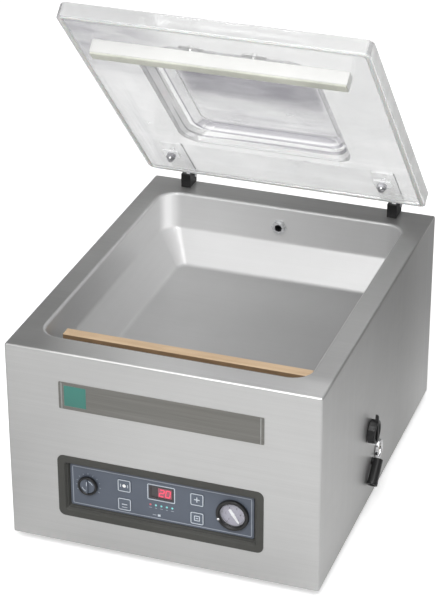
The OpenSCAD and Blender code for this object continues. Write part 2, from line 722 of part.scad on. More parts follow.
housing_shell();
chamber_pan();
base_plate();
rear_cover();
rear_screws();
feet();
foot_screws();
name_plate();
name_plate_accent();
control_bezel();
membrane_panel();
display_window();
display_digits();
indicator_lights();
key_program();
key_minus();
key_plus();
key_stop();
main_knob();
knob_switch();
gauge_case();
gauge_dial();
gauge_needle();
gauge_glass();
gauge_stop_pin();
control_board();
suction_port();
vacuum_hose();
lift_cylinders();
seal_bar_body();
seal_bar_insulator();
seal_wires();
seal_tape();
seal_bar_pistons();
lid_shell();
lid_gasket();
counter_bar_holder();
counter_bar_silicone();
counter_bar_screws();
hinge_bases();
hinge_pins();
hinge_arms();
hinge_bolts();
hinge_washers();
hinge_cap_nuts();
pump_body();
pump_oil_case();
pump_mounts();
oil_filler_plug();
sight_glass_ring();
sight_glass();
drain_elbow();
pump_motor();
motor_rotor();
motor_fan();
exhaust_filter();
solenoid_valve();
valve_plunger();
transformer();
power_inlet();
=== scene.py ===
"""Tabletop chamber vacuum sealer with its clear lid swung open.

The machine stands on the floor plane z = 0. Its front, with the control panel, faces -Y; +X is
the right side seen from the front. Shapes are worked out in millimetres and stored in metres.
Pieces of the lid are shaped closed, then swung open about the hinge.
"""
import bpy, bmesh, math, json
from functools import cached_property
from mathutils import Vector, Matrix


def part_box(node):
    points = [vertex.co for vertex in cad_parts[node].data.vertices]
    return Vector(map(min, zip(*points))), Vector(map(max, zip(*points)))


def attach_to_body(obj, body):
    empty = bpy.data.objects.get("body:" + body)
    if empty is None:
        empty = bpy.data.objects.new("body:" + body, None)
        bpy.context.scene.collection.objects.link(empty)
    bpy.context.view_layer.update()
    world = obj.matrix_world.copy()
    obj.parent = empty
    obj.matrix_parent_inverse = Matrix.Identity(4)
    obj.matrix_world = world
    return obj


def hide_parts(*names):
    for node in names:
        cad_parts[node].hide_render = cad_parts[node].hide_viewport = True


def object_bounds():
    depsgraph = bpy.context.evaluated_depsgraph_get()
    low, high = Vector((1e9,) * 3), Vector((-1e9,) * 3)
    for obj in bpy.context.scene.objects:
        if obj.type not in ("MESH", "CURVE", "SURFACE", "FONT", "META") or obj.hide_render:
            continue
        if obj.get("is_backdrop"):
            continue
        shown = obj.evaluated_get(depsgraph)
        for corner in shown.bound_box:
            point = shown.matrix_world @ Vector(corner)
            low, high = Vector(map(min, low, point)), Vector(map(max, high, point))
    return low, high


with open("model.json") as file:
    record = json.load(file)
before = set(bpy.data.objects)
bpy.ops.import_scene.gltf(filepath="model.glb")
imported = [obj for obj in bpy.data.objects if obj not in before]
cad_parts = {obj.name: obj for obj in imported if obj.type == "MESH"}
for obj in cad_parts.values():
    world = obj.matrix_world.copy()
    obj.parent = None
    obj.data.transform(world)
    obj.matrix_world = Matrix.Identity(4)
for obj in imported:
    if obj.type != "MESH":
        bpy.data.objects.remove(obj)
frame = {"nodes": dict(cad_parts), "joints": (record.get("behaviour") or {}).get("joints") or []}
CAD_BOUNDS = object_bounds()
NODES = frame["nodes"]
MM = 0.001


# ------------------------------------------------------------------ driving sizes (mm)
def cad_box(node):
    """Low and high corner of a frame piece."""
    low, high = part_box(node)
    return [v * 1000 for v in low], [v * 1000 for v in high]


def xz_centre(low, high):
    return (low[0] + high[0]) / 2, (low[2] + high[2]) / 2


# Cabinet and the chamber opening in its deck
HOUSING_LOW, HOUSING_HIGH = cad_box("housing_shell")
FRONT_Y, REAR_Y = HOUSING_LOW[1], HOUSING_HIGH[1]
SHELL_BASE_Z, DECK_Z = HOUSING_LOW[2], HOUSING_HIGH[2]
SIDE_X = HOUSING_HIGH[0]
SHEET = 1.5                 # thickness of the cabinet and chamber sheet
PAN_LOW, PAN_HIGH = cad_box("chamber_pan")
PAN_LIP = 14.0              # width of the pan's flange around the opening
OPENING_X = PAN_HIGH[0] - PAN_LIP
OPENING_FRONT, OPENING_REAR = PAN_LOW[1] + PAN_LIP, PAN_HIGH[1] - PAN_LIP
OPENING_RADIUS = 28
LIP_BEND = 4.0              # radius of the bend from deck to chamber wall
PAN_FLOOR_Z = PAN_LOW[2] + SHEET

# Lid hinge
hinge = [j for j in frame["joints"] if j["name"] == "lid_hinge"][0]
hinge_place = hinge.get("pos_m") or hinge.get("pos") or hinge.get("anchor_m") or (0, 0.28, 0.328)
PIVOT = Vector(hinge_place) * 1000
OPEN_ANGLE = math.radians(max(abs(v) for v in hinge["range_deg"]))
OPEN_LID = (Matrix.Translation(PIVOT) @ Matrix.Rotation(-OPEN_ANGLE, 4, "X")
            @ Matrix.Translation(-PIVOT))
CLOSE_LID = OPEN_LID.inverted()


def closed_box(node):
    """Low and high corner of a lid piece with the lid closed."""
    points = [CLOSE_LID @ (v.co * 1000) for v in NODES[node].data.vertices]
    return [min(p[i] for p in points) for i in range(3)], [max(p[i] for p in points)
                                                           for i in range(3)]


LID_LOW, LID_HIGH = closed_box("lid_shell")
LID_X = LID_HIGH[0]
LID_FRONT, LID_REAR = LID_LOW[1], LID_HIGH[1]
LID_Z = LID_LOW[2]          # underside of the lid plate
LID_PLATE = 22.0            # thickness of the lid plate
COUNTER_LOW, COUNTER_HIGH = closed_box("counter_bar_holder")
BAR_Y = (COUNTER_LOW[1] + COUNTER_HIGH[1]) / 2
washer_low, washer_high = closed_box("hinge_washers")
HINGE_BOLT_X, HINGE_BOLT_Y = washer_high[0] - 13.0, (washer_low[1] + washer_high[1]) / 2
COUNTER_SCREW_X = closed_box("counter_bar_screws")[1][0] - 18.0

# Control panel, places in the XZ plane
BEZEL_LOW, BEZEL_HIGH = cad_box("control_bezel")
BEZEL_X, BEZEL_Z = xz_centre(BEZEL_LOW, BEZEL_HIGH)
SHEET_LOW, SHEET_HIGH = cad_box("membrane_panel")
PANEL_Y = SHEET_LOW[1]      # face of the keypad sheet
KEYS = {name: cad_box(name) for name in ("key_program", "key_minus", "key_plus", "key_stop")}
KNOB = xz_centre(*cad_box("main_knob"))
gauge_low, gauge_high = cad_box("gauge_case")
GAUGE = xz_centre(gauge_low, gauge_high)
GAUGE_RADIUS = (gauge_high[0] - gauge_low[0]) / 2
DISPLAY_LOW, DISPLAY_HIGH = cad_box("display_window")
LAMP_XS = [BEZEL_X - 16 + i * 8 for i in range(5)]

# Right side fittings, places in the YZ plane
plug_low, plug_high = cad_box("oil_filler_plug")
FILLER = ((plug_low[1] + plug_high[1]) / 2, plug_low[2] + 17.5)
sight_low, sight_high = cad_box("sight_glass_ring")
SIGHT = ((sight_low[1] + sight_high[1]) / 2, (sight_low[2] + sight_high[2]) / 2)
DRAIN = (-32.0, 69.0)


# ------------------------------------------------------------------ outlines
def round_rect(x0, x1, y0, y1, radius, steps=8):
    points = []
    corners = ((x1 - radius, y0 + radius, -90), (x1 - radius, y1 - radius, 0),
               (x0 + radius, y1 - radius, 90), (x0 + radius, y0 + radius, 180))
    for cx, cy, start in corners:
        for k in range(steps + 1):
            a = math.radians(start + 90 * k / steps)
            points.append((cx + radius * math.cos(a), cy + radius * math.sin(a)))
    return points


def rect(x0, x1, z0, z1):
    return [(x0, z0), (x1, z0), (x1, z1), (x0, z1)]


def circle(centre, radius, steps):
    angles = [2 * math.pi * k / steps for k in range(steps)]
    return [(centre[0] + radius * math.cos(a), centre[1] + radius * math.sin(a))
            for a in angles]


def fillet(points, radii, steps=5):
    """Round the inner corners of an open path, one radius per corner."""
    path = [tuple(points[0])]
    for i in range(1, len(points) - 1):
        before, corner, after = (Vector(p) for p in points[i - 1:i + 2])
        to_before, to_after = (before - corner).normalized(), (after - corner).normalized()
        angle = to_before.angle(to_after)
        turn = math.pi - angle
        radius = radii[i - 1]
        if radius <= 0 or turn < 1e-3:
            path.append(tuple(corner))
            continue
        reach = radius * math.tan(turn / 2)
        start, end = corner + to_before * reach, corner + to_after * reach
        centre = corner + (to_before + to_after).normalized() * (radius / math.sin(angle / 2))
        v0, v1 = start - centre, end - centre
        for k in range(steps + 1):
            f = k / steps
            v = (v0 * math.sin((1 - f) * turn) + v1 * math.sin(f * turn)) / math.sin(turn)
            path.append(tuple(centre + v))
    path.append(tuple(points[-1]))
    return path


def xz_bounds(low, high, inset=0.0):
    return low[0] + inset, high[0] - inset, low[2] + inset, high[2] - inset


def square_bounds(centre, half):
    return centre[0] - half, centre[0] + half, centre[1] - half, centre[1] + half


def tick(centre, angle, inner, outer, half_width):
    """Outline of a radial tick mark."""
    u, w = math.cos(angle), math.sin(angle)
    corners = ((inner, 1), (inner, -1), (outer, -1), (outer, 1))
    return [(centre[0] + r * u - side * half_width * w, centre[1] + r * w + side * half_width * u)
            for r, side in corners]


# ------------------------------------------------------------------ geometry: (verts, faces)
def on_axis(axis, u, v, along):
    """Point at u, v across an axis and a distance along it."""
    return {"z": (u, v, along), "y": (u, along, v), "x": (along, u, v)}[axis]


def loft(rings, cap_start=True, loop=False):
    n, count = len(rings[0]), len(rings)
    faces = []
    for i in range(count if loop else count - 1):
        a, b = i * n, ((i + 1) % count) * n
        for k in range(n):
            k2 = (k + 1) % n
            faces.append((a + k, a + k2, b + k2, b + k))
    if not loop:
        if cap_start:
            faces.append(tuple(range(n))[::-1])
        faces.append(tuple(range((count - 1) * n, count * n)))
    return [v for ring in rings for v in ring], faces


def extrude(axis, outline, stations):
    return loft([[on_axis(axis, u, v, along) for u, v in outline] for along in stations])


def turned(axis, centre, profile, steps, flute=None, loop=False):
    """Body of revolution; profile rows are (radius, place along the axis)."""
    rings = []
    for radius, along in profile:
        ring = []
        for k in range(steps):
            a = 2 * math.pi * k / steps
            r = flute(radius, along, a) if flute else radius
            ring.append(on_axis(axis, centre[0] + r * math.cos(a),
                                centre[1] + r * math.sin(a), along))
        rings.append(ring)
    return loft(rings, loop=loop)


def panel_rings(bounds, stations, radius, steps, shrink=1.0, least=0.0):
    """Rounded rectangles in XZ; stations are (inset, y), the radius falls with the inset."""
    x0, x1, z0, z1 = bounds
    return [[(x, y, z) for x, z in round_rect(x0 + o, x1 - o, z0 + o, z1 - o,
                                              max(radius - shrink * o, least), steps)]
            for o, y in stations]


def soft_box(x0, x1, y0, y1, z0, z1, edge, edge_steps, radius):
    """Box with every edge rounded, lofted along z."""
    arcs = [math.radians(90 * k / edge_steps) for k in range(edge_steps + 1)]
    profile = [(edge, z0)]
    profile += [(edge - edge * math.sin(a), z0 + edge - edge * math.cos(a)) for a in arcs[1:]]
    profile += [(edge - edge * math.cos(a), z1 - edge + edge * math.sin(a)) for a in arcs]
    rings = []
    for o, z in profile:
        outline = round_rect(x0 + o, x1 - o, y0 + o, y1 - o, max(radius - o, 0.05), 3)
        rings.append([(x, y, z) for x, y in outline])
    return loft(rings)


SHOULDER = 0.35             # raised marks start to narrow at this share of their height


def raised_frame(bounds, radius, width, top_y, base_y):
    """Thin raised outline in the XZ plane, its face at top_y."""
    c = width * 0.22
    mid_y = top_y + (base_y - top_y) * SHOULDER
    stations = ((0, base_y), (0, mid_y), (c, top_y), (width - c, top_y), (width, mid_y),
                (width, base_y))
    return loft(panel_rings(bounds, stations, radius, 5, least=0.2), loop=True)


def raised_pad(outline, top_y, base_y, chamfer=0.12):
    """Thin raised plate from a convex XZ outline, its face at top_y."""
    cx = sum(p[0] for p in outline) / len(outline)
    cz = sum(p[1] for p in outline) / len(outline)
    top = []
    for x, z in outline:
        d = math.hypot(x - cx, z - cz) or 1
        top.append((x - (x - cx) / d * chamfer, z - (z - cz) / d * chamfer))
    mid_y = top_y + (base_y - top_y) * SHOULDER
    return loft([[(x, y, z) for x, z in points]
                 for points, y in ((outline, base_y), (outline, mid_y), (top, top_y))])


def merge(parts):
    """Join (geometry, material index) parts; the index may be a list with one per face."""
    verts, faces, indices = [], [], []
    for (part_verts, part_faces), index in parts:
        base = len(verts)
        verts += part_verts
        faces += [tuple(i + base for i in face) for face in part_faces]
        indices += index if isinstance(index, list) else [index] * len(part_faces)
    return verts, faces, indices


# ------------------------------------------------------------------ objects
FINISH = {}                 # materials by name


def shade(mesh, smooth):
    """Smooth shading, with edges sharper than the angle kept sharp."""
    mesh.polygons.foreach_set("use_smooth", [True] * len(mesh.polygons))
    mesh.set_sharp_from_angle(angle=math.radians(smooth))
    mesh.update()


def link_object(name, mesh):
    obj = bpy.data.objects.new(name, mesh)
    bpy.context.scene.collection.objects.link(obj)
    return obj


def make_object(name, geometry, finishes, smooth=32, transform=None):
    verts, faces = geometry[:2]
    if transform is not None:
        verts = [transform @ Vector(v) for v in verts]
    mesh = bpy.data.meshes.new(name)
    mesh.from_pydata([(x * MM, y * MM, z * MM) for x, y, z in verts], [], faces)
    for finish in finishes:
        mesh.materials.append(FINISH[finish])
    if len(geometry) > 2:
        for polygon, index in zip(mesh.polygons, geometry[2]):
            polygon.material_index = index
    bm = bmesh.new()
    bm.from_mesh(mesh)
    bmesh.ops.remove_doubles(bm, verts=bm.verts, dist=1e-7)
    bmesh.ops.recalc_face_normals(bm, faces=bm.faces)
    bm.to_mesh(mesh)
    bm.free()
    shade(mesh, smooth)
    return link_object(name, mesh)


def attach(obj, replaces=None, body="cabinet"):
    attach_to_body(obj, body)
    if replaces:
        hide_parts(replaces)


def build(name, geometry, finishes, slot, replaces=None, body="cabinet", **options):
    attach(make_object(name, geometry, finishes, **options), replaces, body)


def apply_modifiers(obj):
    bpy.context.view_layer.update()
    graph = bpy.context.evaluated_depsgraph_get()
    mesh = bpy.data.meshes.new_from_object(obj.evaluated_get(graph))
    obj.modifiers.clear()
    old = obj.data
    obj.data = mesh
    bpy.data.meshes.remove(old)


def thicken(obj, smooth):
    """Give a surface the thickness of the sheet, on its inner side."""
    solid = obj.modifiers.new("solidify", "SOLIDIFY")
    solid.thickness = SHEET * MM
    solid.offset = -1.0
    solid.use_even_offset = True
    apply_modifiers(obj)
    shade(obj.data, smooth)


def cut(obj, cutter_geometries, smooth, transform=None):
    cutters = []
    for geometry in cutter_geometries:
        cutter = make_object("cutter", geometry, (), transform=transform)
        cutter.data.materials.append(obj.data.materials[0])  # cut faces take the same finish
        cutters.append(cutter)
        boolean = obj.modifiers.new("cut", "BOOLEAN")
        boolean.operation = "DIFFERENCE"
        boolean.solver = "EXACT"
        boolean.object = cutter
    apply_modifiers(obj)
    for cutter in cutters:
        mesh = cutter.data
        bpy.data.objects.remove(cutter)
        bpy.data.meshes.remove(mesh)
    bm = bmesh.new()
    bm.from_mesh(obj.data)
    bmesh.ops.remove_doubles(bm, verts=bm.verts, dist=2e-6)
    bmesh.ops.dissolve_degenerate(bm, edges=bm.edges, dist=1e-6)
    bm.to_mesh(obj.data)
    bm.free()
    shade(obj.data, smooth)


def weight_normals(obj, weight):
    modifier = obj.modifiers.new("wn", "WEIGHTED_NORMAL")
    modifier.keep_sharp = True
    modifier.weight = weight


# ------------------------------------------------------------------ shader tools
def rgb(*levels):
    """Linear colour from 0-255 sRGB levels."""
    shares = [v / 255.0 for v in levels]
    return tuple(c / 12.92 if c <= 0.04045 else ((c + 0.055) / 1.055) ** 2.4
                 for c in shares) + (1.0,)


def grey(level):
    return (level, level, level, 1)


def scaled(colour, gain, lift=0.0):
    return tuple(min(1, c * gain + lift) for c in colour[:3]) + (1,)


WHITE = grey(1)
MIDDLE = (0.3, 0.7)         # the span of values that noise mostly keeps to


class ShaderTree:
    """Short ways to add nodes; each value may be a number, a tuple or a source socket."""

    def __init__(self, owner):
        owner.use_nodes = True
        self.tree = owner.node_tree
        self.tree.nodes.clear()

    def feed(self, socket, value):
        if isinstance(value, bpy.types.NodeSocket):
            self.tree.links.new(value, socket)
        else:
            socket.default_value = value

    def node(self, kind, inputs=(), **settings):
        node = self.tree.nodes.new(kind)
        for key, value in settings.items():
            setattr(node, key, value)
        for key, value in dict(inputs).items():
            self.feed(node.inputs[key], value)
        return node

    def math(self, operation, *values):
        return self.node("ShaderNodeMath", enumerate(values), operation=operation).outputs[0]

    def add(self, a, b):
        return self.math("ADD", a, b)

    def sub(self, a, b):
        return self.math("SUBTRACT", a, b)

    def mul(self, a, b):
        return self.math("MULTIPLY", a, b)

    def max(self, a, b):
        return self.math("MAXIMUM", a, b)

    def min(self, a, b):
        return self.math("MINIMUM", a, b)

    def abs(self, a):
        return self.math("ABSOLUTE", a)

    def dot(self, a, b):
        return self.node("ShaderNodeVectorMath", {0: a, 1: b},
                         operation="DOT_PRODUCT").outputs["Value"]

    def axes(self, vector):
        return self.node("ShaderNodeSeparateXYZ", {0: vector}).outputs

    def remap(self, value, span, to=(0, 1), kind="LINEAR"):
        inputs = {"From Min": span[0], "From Max": span[1], "To Min": to[0], "To Max": to[1],
                  "Value": value}
        return self.node("ShaderNodeMapRange", inputs, interpolation_type=kind).outputs["Result"]

    def ease(self, value, span, to=(0, 1)):
        return self.remap(value, span, to, "SMOOTHSTEP")

    def mix(self, factor, a, b, blend="MIX"):
        return self.node("ShaderNodeMix", {0: factor, 6: a, 7: b}, data_type="RGBA",
                         blend_type=blend).outputs[2]

    def mix_value(self, factor, a, b):
        return self.node("ShaderNodeMix", {0: factor, 2: a, 3: b}, data_type="FLOAT").outputs[0]

    def mix_shader(self, factor, a, b):
        return self.node("ShaderNodeMixShader", {0: factor, 1: a, 2: b}).outputs[0]


class Material(ShaderTree):
    """A Principled material, listed in FINISH under its name."""

    def __init__(self, name):
        self.data = bpy.data.materials.new(name)
        super().__init__(self.data)
        FINISH[name] = self.data
        self.output = self.node("ShaderNodeOutputMaterial")
        self.shader = self.node("ShaderNodeBsdfPrincipled")
        self.feed(self.output.inputs["Surface"], self.shader.outputs[0])

    @cached_property
    def place(self):
        return self.node("ShaderNodeTexCoord").outputs["Object"]

    @cached_property
    def geometry(self):
        return self.node("ShaderNodeNewGeometry").outputs

    def set(self, **values):
        for key, value in values.items():
            self.feed(self.shader.inputs[key.replace("_", " ")], value)

    def noise(self, scale=1.0, detail=3.0, rough=0.5, stretch=(1, 1, 1), distort=0.0, place=None):
        mapping = self.node("ShaderNodeMapping", {"Scale": stretch,
                                                  "Vector": place or self.place})
        inputs = {"Scale": scale, "Detail": detail, "Roughness": rough, "Distortion": distort,
                  "Vector": mapping.outputs[0]}
        return self.node("ShaderNodeTexNoise", inputs).outputs["Fac"]

    def streaks(self, along, across, detail=3, rough=0.5, axis=0):
        """Noise drawn out along one axis; along and across are its frequencies."""
        stretch = [across] * 3
        stretch[axis] = along
        return self.noise(detail=detail, rough=rough, stretch=stretch)

    def swing(self, value, gain):
        """Noise centred on zero."""
        return self.mul(self.sub(value, 0.5), gain)

    def bump(self, height, depth_mm, strength):
        return self.node("ShaderNodeBump", {"Strength": strength, "Distance": depth_mm * MM,
                                            "Height": height}).outputs["Normal"]

    def edge(self, radius_mm, most=1.0):
        """0 on flats, up to `most` where an edge is near."""
        bevel = self.node("ShaderNodeBevel", {"Radius": radius_mm * MM}, samples=4)
        return self.remap(self.dot(bevel.outputs[0], self.geometry["Normal"]), (0.995, 0.80),
                          to=(0.0, most))

    def tint(self, gain, colour):
        """Multiply a colour by a grey gain."""
        combine = self.node("ShaderNodeCombineColor", {i: gain for i in range(3)})
        return self.mix(1.0, colour, combine.outputs[0], "MULTIPLY")

    def paint_light_gain(self, gain):
        """Multiply the colour in place by a slow gain: painted sheen and shade over a panel."""
        old = self.shader.inputs["Base Color"].links[0].from_socket
        self.set(Base_Color=self.tint(gain, old))

    def closed_lid_place(self):
        """Object coordinates turned back to the closed lid."""
        pivot = PIVOT * MM
        return self.node("ShaderNodeMapping", {
            "Rotation": (OPEN_ANGLE, 0, 0),
            "Location": pivot - Matrix.Rotation(OPEN_ANGLE, 3, "X") @ pivot,
            "Vector": self.place}).outputs[0]

    def pass_shadows(self, shader, share):
        """Let shadow rays pass a clear piece instead of stopping at it."""
        clear = self.node("ShaderNodeBsdfTransparent").outputs[0]
        path = self.node("ShaderNodeLightPath").outputs
        factor = self.mul(path["Is Shadow Ray"], share)
        self.feed(self.output.inputs["Surface"], self.mix_shader(factor, shader, clear))


# ------------------------------------------------------------------ kinds of finish
def brushed(name, base=None, metallic=1.0, rough=0.34, grain=1.0, spread=0.10, side_axis=2,
            shift=0.0):
    """Satin sheet: streaks along x, or along side_axis on faces that look along x.

    spread is the swing in roughness, shift offsets the scales of the slow noises. Without a
    base colour the caller sets the colour.
    """
    mat = Material(name)
    side = mat.remap(mat.abs(mat.axes(mat.geometry["True Normal"])[0]), (0.6, 0.8))
    fine = mat.mix_value(side, mat.streaks(along=6, across=900, detail=4, rough=0.6),
                         mat.streaks(along=6, across=900, detail=4, rough=0.6, axis=side_axis))
    wide = mat.mix_value(side, mat.streaks(along=2.2, across=170),
                         mat.streaks(along=2.2, across=170, axis=side_axis))
    if base:
        cloud = mat.noise(scale=7.0 + shift, rough=0.55)
        tone = mat.add(mat.swing(fine, gain=0.16 * grain), mat.swing(wide, gain=0.16 * grain))
        tone = mat.add(mat.add(tone, mat.swing(cloud, gain=0.10)), 1.0)
        colour = mat.tint(tone, base)
        worn = mat.edge(radius_mm=1.2, most=0.45)
        mat.set(Base_Color=mat.mix(worn, colour, grey(0.86)))
    smear = mat.noise(scale=26.0 + shift, detail=2, stretch=(1, 1, 2.4))
    roughness = mat.add(rough, mat.swing(wide, gain=spread))
    roughness = mat.add(roughness, mat.swing(smear, gain=spread * 0.8))
    height = mat.add(mat.mul(fine, 0.7), mat.mul(wide, 0.3))
    mat.set(Roughness=roughness, Metallic=metallic,
            Normal=mat.bump(height, depth_mm=0.02 * grain, strength=0.35))
    return mat


def plastic(name, base, rough=0.42, grain_mm=0.5, bump_mm=0.015, tone=0.12, edge=0.25,
            edge_colour=None, specular=0.5, coat=0.0):
    """Moulded or painted finish: fine texture, slow colour drift, lighter worn edges."""
    mat = Material(name)
    fine = mat.noise(scale=1000.0 / grain_mm, detail=2, rough=0.6)
    mid = mat.noise(scale=160.0)
    slow = mat.noise(scale=12.0)
    light = scaled(base, gain=1 + tone, lift=0.003)
    colour = mat.mix(mat.remap(slow, MIDDLE), scaled(base, gain=1 - tone), light)
    colour = mat.mix(mat.mul(mat.remap(mid, (0.45, 0.75)), 0.25), colour, light)
    colour = mat.mix(mat.mul(mat.edge(radius_mm=0.6), edge), colour,
                     edge_colour or scaled(base, gain=1.8, lift=0.03))
    mat.set(Base_Color=colour, Roughness=mat.add(rough - 0.06, mat.mul(mid, 0.12)),
            Specular_IOR_Level=specular, Coat_Weight=coat, Coat_Roughness=0.2,
            Normal=mat.bump(mat.add(fine, mat.mul(slow, 0.3)), bump_mm, strength=0.5))
    return mat


def metal(name, base=None, rough=0.2, metallic=1.0):
    """Plated or ground metal. Without a base colour the caller sets the colour."""
    mat = Material(name)
    scratches = mat.noise(detail=4, rough=0.6, stretch=(90, 90, 900))
    if base:
        patches = mat.remap(mat.noise(scale=60.0, rough=0.6), MIDDLE)
        mat.set(Base_Color=mat.mix(patches, scaled(base, gain=0.82), scaled(base, gain=1.12)))
    mat.set(Roughness=mat.add(rough, mat.swing(scratches, gain=0.1)), Metallic=metallic,
            Normal=mat.bump(scratches, depth_mm=0.01, strength=0.4))
    return mat


def clear_glass(name, tint, rough=0.02):
    mat = Material(name)
    ripple = mat.noise(scale=120.0, detail=2)
    mat.set(IOR=1.45, Transmission_Weight=1.0,
            Base_Color=mat.mix(ripple, tint, scaled(tint, gain=1.03)),
            Roughness=mat.add(rough, mat.mul(ripple, 0.02)),
            Normal=mat.bump(ripple, depth_mm=0.01, strength=0.2))
    mat.pass_shadows(mat.shader.outputs[0], share=0.9)


def glow(name, light, power, base, first_lamp=None):
    """Lit plastic. first_lamp is the (base, light) of the leftmost indicator, if it differs."""
    mat = Material(name)
    patches = mat.noise(scale=260.0, detail=2)
    mat.set(Emission_Color=light, Emission_Strength=power, Roughness=0.35,
            Normal=mat.bump(patches, depth_mm=0.01, strength=0.3))
    if first_lamp:
        first = mat.remap(mat.axes(mat.place)[0], (-0.0130, -0.0125), to=(1, 0))
        mat.set(Base_Color=mat.mix(first, base, first_lamp[0]),
                Emission_Color=mat.mix(first, light, first_lamp[1]))
    else:
        mat.set(Base_Color=mat.mix(patches, scaled(base, gain=0.85), base))


# ------------------------------------------------------------------ single materials
def cabinet_steel():
    """Brushed steel with painted sheen: a gain by position lightens and darkens the deck and
    brightens the rear of the side.
    """
    mat = brushed("steel_brushed", (0.58, 0.58, 0.575, 1), metallic=0.86, rough=0.38, grain=0.75)
    normal = mat.axes(mat.geometry["Normal"])
    place = mat.axes(mat.place)
    x, y = place[0], mat.sub(place[1], FRONT_Y * MM)     # y runs back from the front face
    # painted sheen and shade on the deck, set by position
    painted_rear_sheen = mat.ease(x, (-0.12, 0.12), to=(1.15, 0.80))
    painted_left_sheen = mat.ease(y, (0.05, 0.42), to=(0.80, 1.20))
    painted_right_sheen = mat.ease(y, (0.10, 0.44), to=(0.85, 0.65))
    sides = mat.mix_value(mat.ease(x, (-0.05, 0.05)), painted_left_sheen, painted_right_sheen)
    gain = mat.mix_value(mat.ease(y, (0.44, 0.53), to=(1, 0)), painted_rear_sheen, sides)
    # painted sheen along the front of the deck
    painted_front_sheen = mat.mul(mat.ease(y, (0.03, 0.06), to=(1, 0)), mat.ease(x, (-0.19, -0.12)))
    gain = mat.mix_value(painted_front_sheen, gain, 1.18)
    gain = mat.mix_value(mat.remap(normal[2], (0.3, 0.7)), 1.0, gain)    # deck only
    # painted sheen brightening the rear of the right side
    painted_side_sheen = mat.mul(mat.remap(normal[0], (0.6, 0.8)), mat.ease(y, (0.38, 0.56)))
    mat.paint_light_gain(mat.mix_value(painted_side_sheen, gain, 1.38))


def basin_steel():
    """Pressed pan with painted light: white emission paints a highlight on the rear left corner and
    a glow on the left and rear walls; the floor is painted darker towards the right.
    """
    mat = brushed("steel_satin_pressed", grey(0.49), metallic=0.42, rough=0.40, grain=0.4,
                  spread=0.07, side_axis=1, shift=3.0)
    # painted highlight: emission on the rear left corner
    facing = mat.max(mat.dot(mat.geometry["Normal"], (0.70, -0.70, 0.14)), 0.0)
    corner = mat.mul(mat.math("POWER", facing, 12.0), 0.34)
    normal = mat.axes(mat.geometry["Normal"])
    place = mat.axes(mat.place)
    # painted glow: emission on the left and rear walls
    left = mat.mul(mat.max(normal[0], 0.0), mat.ease(place[1], (-0.15, 0.22), to=(0.0, 0.16)))
    rear = mat.mul(mat.max(mat.mul(normal[1], -1.0), 0.0),
                   mat.ease(place[0], (-0.18, 0.16), to=(0.18, 0.02)))
    # painted shade: the floor darker towards the right
    painted_floor_shade = mat.ease(place[0], (-0.12, 0.15), to=(0.91, 0.66))
    mat.paint_light_gain(mat.mix_value(mat.remap(normal[2], (0.8, 0.95)), 1.0, painted_floor_shade))
    mat.set(Emission_Strength=mat.add(corner, mat.add(left, rear)), Emission_Color=WHITE)


def hinge_arm_steel():
    """Polished strap: pale faces, side faces painted dark as shade, and a painted glow (emission)
    where it lies against the lid.
    """
    mat = brushed("hinge_steel", metallic=0.2, rough=0.42, grain=0.6, shift=2.0)
    side = mat.remap(mat.abs(mat.axes(mat.geometry["True Normal"])[0]), (0.5, 0.8))
    streak = mat.streaks(along=6, across=170)
    face = mat.mix(streak, grey(0.86), grey(0.95))
    arm_top = closed_box("hinge_arms")[1][2]
    height = mat.axes(mat.closed_lid_place())[2]
    under = mat.remap(height, ((arm_top - 1.6) * MM, (arm_top - 0.8) * MM), to=(1, 0))
    # painted glow: emission on the face that lies against the lid
    lift = mat.mul(mat.mul(mat.sub(1.0, side), under), mat.remap(streak, MIDDLE, to=(0.34, 0.46)))
    # the side faces are painted dark as shade
    mat.set(Base_Color=mat.mix(side, face, grey(0.10)), Emission_Color=WHITE,
            Emission_Strength=lift)


def washer_steel():
    """Plated washer: bright flat with a painted glow (emission), rim painted dark as shade."""
    mat = metal("washer_plated", rough=0.3, metallic=0.35)
    patches = mat.noise(scale=60.0, rough=0.6)
    rim = mat.edge(radius_mm=1.6)
    flat = mat.mix(patches, (0.78, 0.78, 0.79, 1), (0.92, 0.92, 0.93, 1))
    # painted glow: emission on the flat
    lift = mat.mul(mat.sub(1.0, rim), mat.remap(patches, MIDDLE, to=(0.26, 0.36)))
    # the rim is painted dark as shade
    mat.set(Base_Color=mat.mix(rim, flat, (0.06, 0.06, 0.065, 1)), Emission_Color=WHITE,
            Emission_Strength=lift)


def seal_tape():
    """Woven tape, tan on top; its sides are painted a mottled darker brown as shade."""
    mat = Material("tape_ptfe")
    threads = [mat.node("ShaderNodeTexWave", {"Scale": 480, "Vector": mat.place},
                        wave_type="BANDS", bands_direction=axis).outputs["Fac"] for axis in "XY"]
    weave = mat.max(*threads)
    slow = mat.streaks(along=14, across=120)
    side_shade_mottle = mat.noise(rough=0.6, stretch=(30, 260, 200))
    # painted shade: faces that look up stay tan, the sides turn brown
    top = mat.ease(mat.axes(mat.geometry["True Normal"])[2], (0.35, 0.75))
    tan = mat.mix(mat.remap(slow, MIDDLE), rgb(180, 152, 120), rgb(200, 174, 142))
    brown = mat.mix(mat.remap(side_shade_mottle, MIDDLE), rgb(104, 80, 54), rgb(128, 100, 70))
    colour = mat.mix(top, brown, tan)
    mat.set(Base_Color=mat.mix(mat.mul(weave, 0.10), colour, rgb(236, 212, 178)),
            Roughness=mat.add(0.36, mat.mul(slow, 0.16)),
            Normal=mat.bump(weave, depth_mm=0.05, strength=0.6), Sheen_Weight=0.05)


